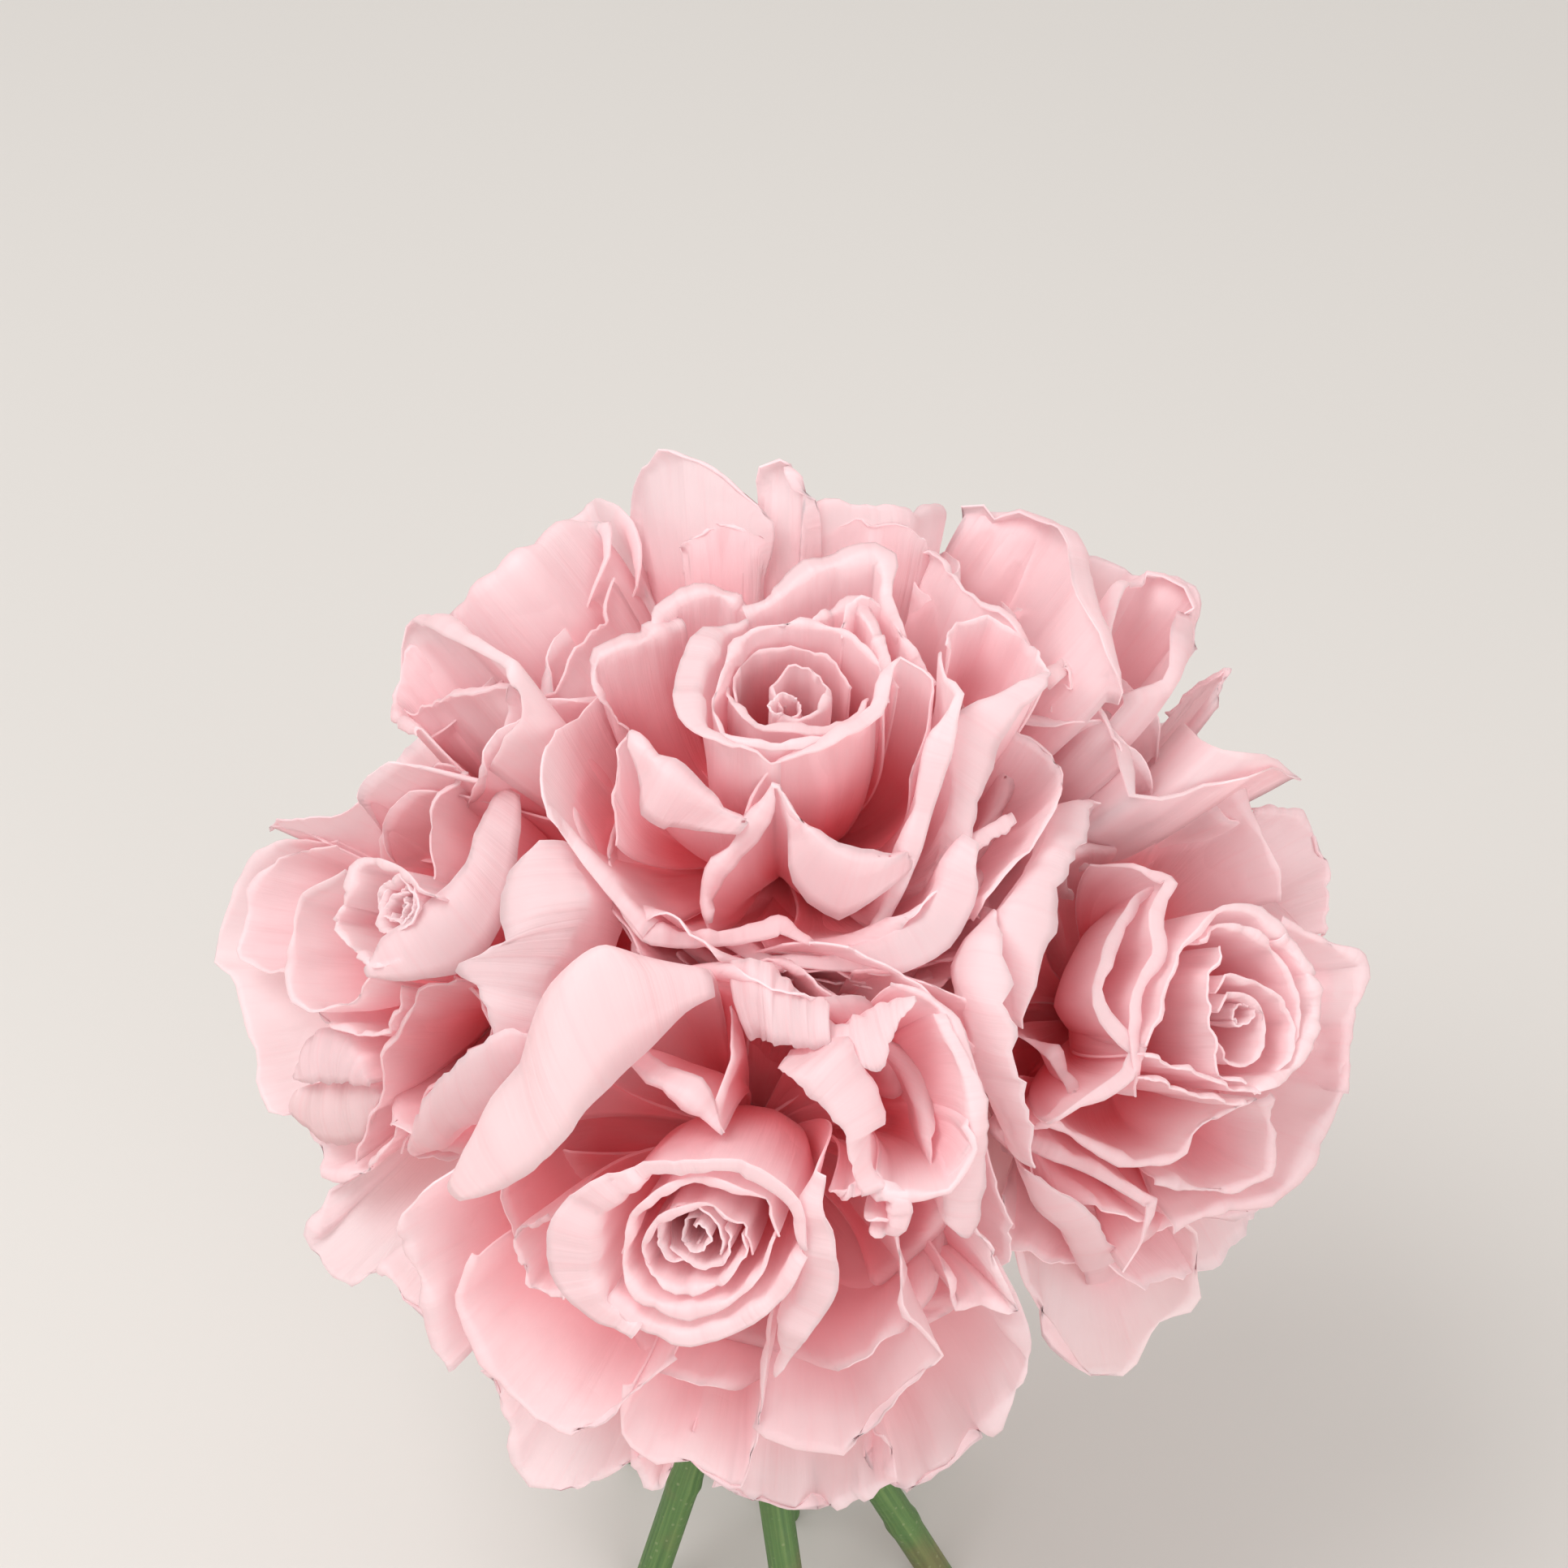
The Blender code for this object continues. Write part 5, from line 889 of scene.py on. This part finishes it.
class Piece:
    """A visible piece while it is put together from closed shapes."""

    def __init__(self):
        self.points, self.faces, self.marks, self.flat = [], [], [], []
        self.count = 0

    def add(self, points, faces, flat, *mark):
        """Adds a shape whose last flat faces are a cut margin, with three fields for its material to read."""
        mark = np.stack(np.broadcast_arrays(*mark), -1).reshape(-1, 3)
        self.marks.append(np.tile(mark, (len(points) // len(mark), 1)))
        self.points.append(points)
        self.faces += [[k + self.count for k in face] for face in faces]
        self.flat += [0] * (len(faces) - flat) + [1] * flat
        self.count += len(points)

    def finish(self, name, material, node):
        """Makes the object, which stands for a CAD node. Cut margins are shaded flat."""
        mesh = bpy.data.meshes.new(name)
        mesh.from_pydata(((np.concatenate(self.points) + CENTRE) * MM).tolist(), [], self.faces)
        marks, flat = np.concatenate(self.marks).astype(np.float32), np.array(self.flat, np.float32)
        mesh.attributes.new("surface", "FLOAT_VECTOR", "POINT").data.foreach_set("vector", marks.reshape(-1))
        mesh.attributes.new("margin", "FLOAT", "FACE").data.foreach_set("value", flat)
        mesh.polygons.foreach_set("use_smooth", flat == 0)
        mesh.materials.append(material)
        piece = bpy.data.objects.new(name, mesh)
        bpy.context.scene.collection.objects.link(piece)
        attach(piece, "root")
        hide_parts(node)
        print(name, sum(len(face) - 2 for face in self.faces), "triangles")


def build_bloom(name, rose, material):
    """One rose as closed petals. Their material reads across, along and tone on each vertex; the tone holds
    painted shade on hidden petals and, through pale, partly painted light.
    """
    chance = np.random.default_rng(rose["seed"] + BLOOM_SEED)
    petals = petals_of(name, rose)
    bloom = Piece()
    for layer, (shape, _, how, placed) in enumerate(petals):
        depth = layer / (len(petals) - 1)
        foot = FOOT_LOWEST + (FOOT_HIGHEST - FOOT_LOWEST) * depth
        grid, across, along = shape(foot, how, *placed, chance)
        grid = squeeze(grid, rose, depth)
        # painted shade: the deeper a petal lies in the head, away from the light, the deeper its colour is
        # painted
        hidden = 1 - smooth(*OPEN_TO_LIGHT, np.linalg.norm(grid, axis=-1))
        tone = how["pale"] + chance.uniform(-TONE_CHANCE, TONE_CHANCE) - PAINTED_SHADE_DEPTH * hidden
        in_fold = (np.arange(len(along)) > ROWS)[:, None]
        bloom.add(*slab(grid, along), across, along, tone + FOLD_TONE * in_fold)
    bloom.finish(f"rose_{name}_petals", material, f"rose_{name}_bloom")


def waist_and_foot(name):
    """Where a stem crosses the waist and where it stands."""
    if name == "top":
        return np.array([0, 0, -WAIST_DEPTH]), np.array([0, 0, -DOME_HEIGHT])
    turn = math.radians(SLOTS[name] + SPIRAL_TURN)
    foot = ring(FOOT_RADIUS, turn + math.radians(SPIRAL_TURN), -DOME_HEIGHT)
    return ring(WAIST_RADIUS, turn, -WAIST_DEPTH), foot


def stem_line(name, rose):
    """Points and radii of a stem from under the bloom, through its hip and the waist, to the cut end."""
    axis = rose["direction"]
    top = rose["base"] + (CORE_BOTTOM - HIP_GAP) * axis
    hip = through(HIP, HIP_RINGS, 0)
    waist, foot = waist_and_foot(name)
    start = top - hip[-1, 1] * axis
    neck, knee = start - NECK_REACH * axis, waist - WAIST_REACH * normalised(foot - waist)
    t = np.linspace(0, 1, STEM_RINGS)[1:, None]
    points = np.concatenate([top - hip[:, 1:] * axis, bezier(t, start, neck, knee, waist),
                             waist + t * (foot - waist)])
    return points, np.concatenate([hip[:, 0], np.full(len(points) - HIP_RINGS, STEM_RADIUS)])


def knobbly(points, radii, chance):
    """A stem's radii with its leaf nodes, clear of the hip and the twine, and how far along each point is."""
    far = lengths(points)
    node = far[HIP_RINGS] + chance.uniform(*FIRST_NODE)
    while node < far[-1] - NODE_CLEAR:
        k = int(np.searchsorted(far, node))
        if abs(points[k][2] + WAIST_DEPTH) > NODE_CLEAR:
            radii = radii + NODE_HEIGHT * np.exp(-((far - node) / NODE_LENGTH) ** 2)
        node += chance.uniform(*NODE_STEP)
    return radii, far


def sepal(turn, chance):
    """A pointed sepal, bent back under the bloom, with a keel and ragged sides, in the rose's own frame."""
    q, radius, height, lean, length = spine_curve(SEPAL)
    u, v = np.meshgrid(np.linspace(-1, 1, SEPAL_COLUMNS + 1), np.linspace(0, 1, SEPAL_ROWS + 1))
    half = np.interp(v, *SEPAL_HALF)
    half = half * (1 + SEPAL_RAG * smooth(0.2, 0.5, v) * ridge(13 * v + chance.uniform(0, 6)))
    r, z, tilt = (np.interp(length * SEPAL_OVERRUN * v, q, values) for values in (radius, height, lean))
    x = u * half
    lift = SEPAL_KEEL * np.exp(-(u / KEEL_WIDTH) ** 2) - SEPAL_CUP * half * u ** 2
    z = z + lift * np.sin(tilt) - SEPAL_CUP * np.abs(x)
    twist = chance.uniform(-0.5, 0.5) * v ** 2
    return about_axis(r - lift * np.cos(tilt), x + twist * length * SEPAL_TWIST, turn, z), u, v


def build_stem(name, rose, material):
    """One rose's stem, hip and sepals. Their material reads around, along and whether it is a sepal."""
    chance = np.random.default_rng(rose["seed"] + STEM_SEED)
    points, radii = stem_line(name, rose)
    radii, far = knobbly(points, radii, chance)
    rings = tube(points, radii, STEM_SIDES)
    rings = np.concatenate([rings, rings[-1:]])
    leg = normalised(points[-1] - points[-2])
    for k, inset in ((-2, 0.0), (-1, CUT_BEVEL)):
        middle = rings[k].mean(axis=0)
        rings[k] = middle + (rings[k] - middle) * (1 - inset / STEM_RADIUS)
        level = CUT_BEVEL - inset - DOME_HEIGHT
        rings[k] += ((level - rings[k][:, 2]) / leg[2])[:, None] * leg
    far = np.append(far, far[-1])[:, None] / far[-1]
    stalk = Piece()
    stalk.add(rings.reshape(-1, 3), tube_faces(rings), 1, np.arange(STEM_SIDES) / STEM_SIDES, far, 0)
    for k in range(SEPALS):
        turn = math.radians(rose["seed"] * SEPAL_TURN) + 2 * math.pi * k / SEPALS
        grid, across, along = sepal(turn, chance)
        points, faces, _ = slab(squeeze(grid, rose, SEPAL_DEPTH), along)
        stalk.add(points, faces, 0, across, along, 1)
    stalk.finish(f"rose_{name}_stalk", material, f"rose_{name}_stem")


def bundle_reach(turn, height):
    """How far the stems reach from the middle in a direction at a height, as a tight string feels them."""
    reach = 0
    for name in RING:
        waist, foot = waist_and_foot(name)
        leg = foot - waist
        place = waist + leg * (height / leg[2])
        reach = max(reach, place[0] * math.cos(turn) + place[1] * math.sin(turn))
    return reach + STEM_RADIUS * BUNDLE_SLACK


def build_twine(material):
    """Twine wound round the waist in close turns, with a knot and two short ends at the front."""
    turns = np.linspace(0, 1, TWINE_RINGS)
    turn = TWINE_START + turns * TWINE_TURNS * 2 * math.pi
    height = (turns - 0.5) * (TIE_HEIGHT - 2 * TWINE_RADIUS)
    reach = np.array([bundle_reach(a, h) for a, h in zip(turn, height)]) + TWINE_RADIUS
    wound = ring(reach, turn, height - WAIST_DEPTH)
    front = ring(reach.max() + TWINE_RADIUS, TWINE_START, -WAIST_DEPTH)
    out, down = ring(1, TWINE_START, 0), np.array([0, 0, -1.0])
    aside = np.cross(out, down)

    def before(sideways, downward, outward):
        return front + np.outer(sideways, aside) + np.outer(downward, down) + np.outer(outward, out)

    s = np.linspace(0, 2 * math.pi, KNOT_RINGS)
    width, loops, deep = KNOT_SHAPE
    wide = KNOT_SIZE * (width + loops * np.cos(3 * s))
    knot = before(wide * np.cos(2 * s), wide * np.sin(2 * s), deep * KNOT_SIZE * np.sin(3 * s))
    t = np.linspace(0, 1, END_RINGS)
    spread_out = END_SPREAD[0] + END_SPREAD[1] * t ** 0.8
    ends = [before(side * spread_out, TWINE_END * t, END_BOW * np.sin(3 * t)) for side in (-1, 1)]
    twine = Piece()
    around = np.arange(TWINE_SIDES) * 2 * math.pi / TWINE_SIDES
    for line in (wound, knot, *ends):
        far = lengths(line)[:, None]
        ply = np.abs(np.cos(PLIES / 2 * (around - far * 2 * math.pi / PLY_LENGTH)))
        rings = tube(line, TWINE_RADIUS * (0.8 + 0.2 * ply), TWINE_SIDES)
        twine.add(rings.reshape(-1, 3), tube_faces(rings), 0, ply, far, 0)
    twine.finish("twine", material, "tie")


class Look:
    """A material whose nodes are laid out in a short way."""

    def __init__(self, name):
        self.material = bpy.data.materials.new(name)
        self.material.use_nodes = True
        self.tree = self.material.node_tree
        self.shader = self.tree.nodes["Principled BSDF"]

    def feed(self, node, inputs):
        """Joins a node's inputs to sockets or sets them to values."""
        for key, value in inputs.items():
            if isinstance(value, bpy.types.NodeSocket):
                self.tree.links.new(value, node.inputs[key])
            else:
                node.inputs[key].default_value = value

    def add(self, kind, inputs, **settings):
        """A node of a kind, with its settings and inputs."""
        node = self.tree.nodes.new("ShaderNode" + kind)
        for key, value in settings.items():
            setattr(node, key, value)
        self.feed(node, inputs)
        return node

    def surface(self):
        """The three fields that a piece carries on its vertices, and each point's place on the object."""
        marks = self.add("Attribute", {}, attribute_name="surface").outputs["Vector"]
        parts = self.add("SeparateXYZ", {"Vector": marks}).outputs
        return *parts, self.add("TexCoord", {}).outputs["Object"]

    def margin(self):
        """1 on cut margins."""
        return self.add("Attribute", {}, attribute_name="margin").outputs["Fac"]

    def math(self, operation, *values):
        return self.add("Math", dict(enumerate(values)), operation=operation).outputs[0]

    def mix(self, factor, colour, other):
        """A colour mixed with a plain one."""
        return self.add("Mix", {0: factor, 6: colour, 7: (*other, 1)}, data_type="RGBA").outputs[2]

    def tint(self, colour, other, amount, value, *between):
        """A colour mixed with up to amount of a plain one, by a value or by how far between two it is."""
        if between:
            value = self.add("MapRange", {"Value": value, "From Min": between[0], "From Max": between[1]},
                             interpolation_type="SMOOTHSTEP").outputs["Result"]
        return self.mix(self.math("MULTIPLY", value, amount), colour, other)

    def ramp(self, factor, positions, colours):
        node = self.add("ValToRGB", {"Fac": factor})
        band = node.color_ramp
        while len(band.elements) < len(colours):
            band.elements.new(0.5)
        for element, position, colour in zip(band.elements, positions, colours):
            element.position = position
            element.color = (*colour, 1)
        return node.outputs["Color"]

    def noise(self, vector, scale, detail, roughness=0.5):
        inputs = {"Vector": vector, "Scale": scale, "Detail": detail, "Roughness": roughness}
        return self.add("TexNoise", inputs).outputs["Fac"]

    def streaks(self, across, along, stretch, detail, roughness=0.5):
        """Noise drawn out along the piece."""
        line = self.add("CombineXYZ", {"X": self.math("MULTIPLY", across, stretch[0]),
                                       "Y": self.math("MULTIPLY", along, stretch[1])})
        return self.noise(line.outputs[0], 1.0, detail, roughness)

    def coat(self, colour, roughness, height, strength, distance):
        """Gives the shader its colour, its roughness and a bump, whose distance is in metres."""
        bump = self.add("Bump", {"Strength": strength, "Distance": distance, "Height": height})
        self.feed(self.shader, {"Base Color": colour, "Roughness": roughness, "Normal": bump.outputs[0]})
        return self.material


def petal_material():
    """Pink that deepens towards the foot, partly its own colour and partly painted shade in the crevices, and
    pales to the rim; deeper still as painted shade on hidden petals and whiter as painted light on pale ones,
    with faint veins, mottling and a painted highlight on the pale cut edge.
    """
    n = Look("petal")
    across, along, tone, place = n.surface()
    margin = n.margin()
    mottle = n.noise(place, 90.0, 1.0, 0.6)
    height = n.math("ADD", along, n.math("MULTIPLY", tone, 0.45))
    height = n.math("ADD", height, n.math("MULTIPLY_ADD", n.noise(place, 28.0, 1.0), 0.5, -0.25))
    veins = n.streaks(across, along, (14.0, 1.6), 3.0, 0.62)
    creased = n.math("ABSOLUTE", n.math("SUBTRACT", n.noise(place, 60.0, 2.0), 0.5))
    # deeper towards the foot: partly the petal's own colour, partly painted shade in the crevices
    colour = n.ramp(height, (0.18, 0.42, 0.68, 0.92), (DEEP, ROSY, PINK, PALE))
    # whiter towards cream where the tone is high: partly the petal's own paleness, partly painted light
    colour = n.tint(colour, CREAM, 0.6, tone, 0.45, 0.9)
    colour = n.tint(colour, ROSY, 0.14, veins, 0.5, 0.75)
    # painted highlight: the petals' cut edges are painted paler, as if lit through
    colour = n.tint(colour, PALE, 0.4, margin)
    fine = n.math("MULTIPLY_ADD", veins, 0.5, n.math("MULTIPLY", mottle, 0.2))
    fine = n.math("MULTIPLY_ADD", creased, 2.2, fine)
    n.coat(colour, n.math("MULTIPLY_ADD", mottle, 0.2, 0.38), fine, 0.5, 0.001)
    n.feed(n.shader, {"Specular IOR Level": 0.45, "Sheen Weight": 0.22, "Sheen Roughness": 0.4})
    inside = n.add("NewGeometry", {}).outputs["Backfacing"]
    glow = n.mix(inside, n.mix(0.7, colour, GLOW), WHITE)
    lit_through = n.add("BsdfTranslucent", {"Color": glow}).outputs[0]
    both = n.add("MixShader", {0: n.math("MAXIMUM", inside, 0.5), 1: n.shader.outputs[0], 2: lit_through})
    n.feed(n.tree.nodes["Material Output"], {"Surface": both.outputs[0]})
    return n.material


def stem_material():
    """Streaked green bark with pale dots, paler sepals and a moist cream cut."""
    n = Look("stem")
    around, along, on_sepal, place = n.surface()
    streaks = n.streaks(around, along, (26.0, 5.0), 4.0)
    patch = n.noise(place, 45.0, 3.0)
    dots = n.add("TexVoronoi", {"Vector": place, "Scale": 520.0}).outputs["Distance"]
    colour = n.ramp(streaks, (0.3, 0.55, 0.8), BARK)
    colour = n.tint(colour, BARK_BROWN, 0.45, patch, 0.5, 0.72)
    colour = n.tint(colour, BARK_DOT, 0.35, dots, 0.22, 0.1)
    colour = n.tint(colour, SEPAL_GREEN, 0.5, on_sepal)
    colour = n.mix(n.margin(), colour, CUT_CREAM)
    height = n.math("SUBTRACT", streaks, dots)
    return n.coat(colour, n.math("MULTIPLY_ADD", patch, 0.25, 0.4), height, 0.5, 0.0004)


def twine_material():
    """Undyed plied twine: darker between the plies as painted shade, with loose fibres."""
    n = Look("twine")
    ply, along, _, place = n.surface()
    fibres = n.streaks(ply, along, (9.0, 1.2), 5.0)
    # painted shade: darkest in the grooves between the plies, lighter on their crests
    colour = n.ramp(ply, (0.0, 0.45, 1.0), TWINE_TAN_AND_GROOVE_SHADE)
    colour = n.tint(colour, FIBRE_PALE, 0.5, fibres, 0.5, 0.7)
    colour = n.tint(colour, TWINE_BROWN, 0.3, n.noise(place, 160.0, 2.0), 0.45, 0.7)
    return n.coat(colour, n.math("MULTIPLY_ADD", fibres, 0.2, 0.75), fibres, 0.6, 0.0003)


def build_stage():
    """A plain pale floor, a soft sky and two softboxes aimed at the head."""
    n = Look("floor")
    colour = n.ramp(n.add("TexNoise", {"Scale": 3.0}).outputs["Fac"], (0.3, 0.7), FLOOR_PALE)
    n.feed(n.shader, {"Base Color": colour, "Roughness": 0.8})
    bpy.ops.mesh.primitive_plane_add(size=FLOOR_SIZE)
    floor = bpy.context.object
    floor.name = "floor"
    floor.data.materials.append(n.material)
    world = bpy.data.worlds.new("sky")
    bpy.context.scene.world = world
    world.use_nodes = True
    background = world.node_tree.nodes["Background"]
    background.inputs["Color"].default_value = SKY
    background.inputs["Strength"].default_value = SKY_STRENGTH
    for place, side, power in SOFTBOXES:
        data = bpy.data.lights.new("softbox", "AREA")
        data.size, data.energy = side, power
        lamp = bpy.data.objects.new("softbox", data)
        lamp.location = place
        lamp.rotation_euler = (Vector(LIGHT_AIM) - Vector(place)).to_track_quat("-Z", "Y").to_euler()
        bpy.context.scene.collection.objects.link(lamp)


def build_camera():
    """The photo's view of the head."""
    camera = bpy.data.objects.new("camera", bpy.data.cameras.new("camera"))
    bpy.context.scene.collection.objects.link(camera)
    camera.data.sensor_width = SENSOR_WIDTH
    camera.data.lens = camera.data.sensor_width / 2 / math.tan(math.radians(VIEW_ANGLE / 2))
    camera.data.clip_start = 0.01
    camera.location = (EYE + CENTRE) * MM
    camera.rotation_euler = (math.radians(90 - VIEW_PITCH), 0, 0)
    bpy.context.scene.camera = camera
    bpy.context.scene.view_settings.view_transform = "Standard"


place_roses()
build_walls()
petal_look, stem_look = petal_material(), stem_material()
for name, rose in ROSES.items():
    build_bloom(name, rose, petal_look)
    build_stem(name, rose, stem_look)
build_twine(twine_material())
build_stage()
build_camera()
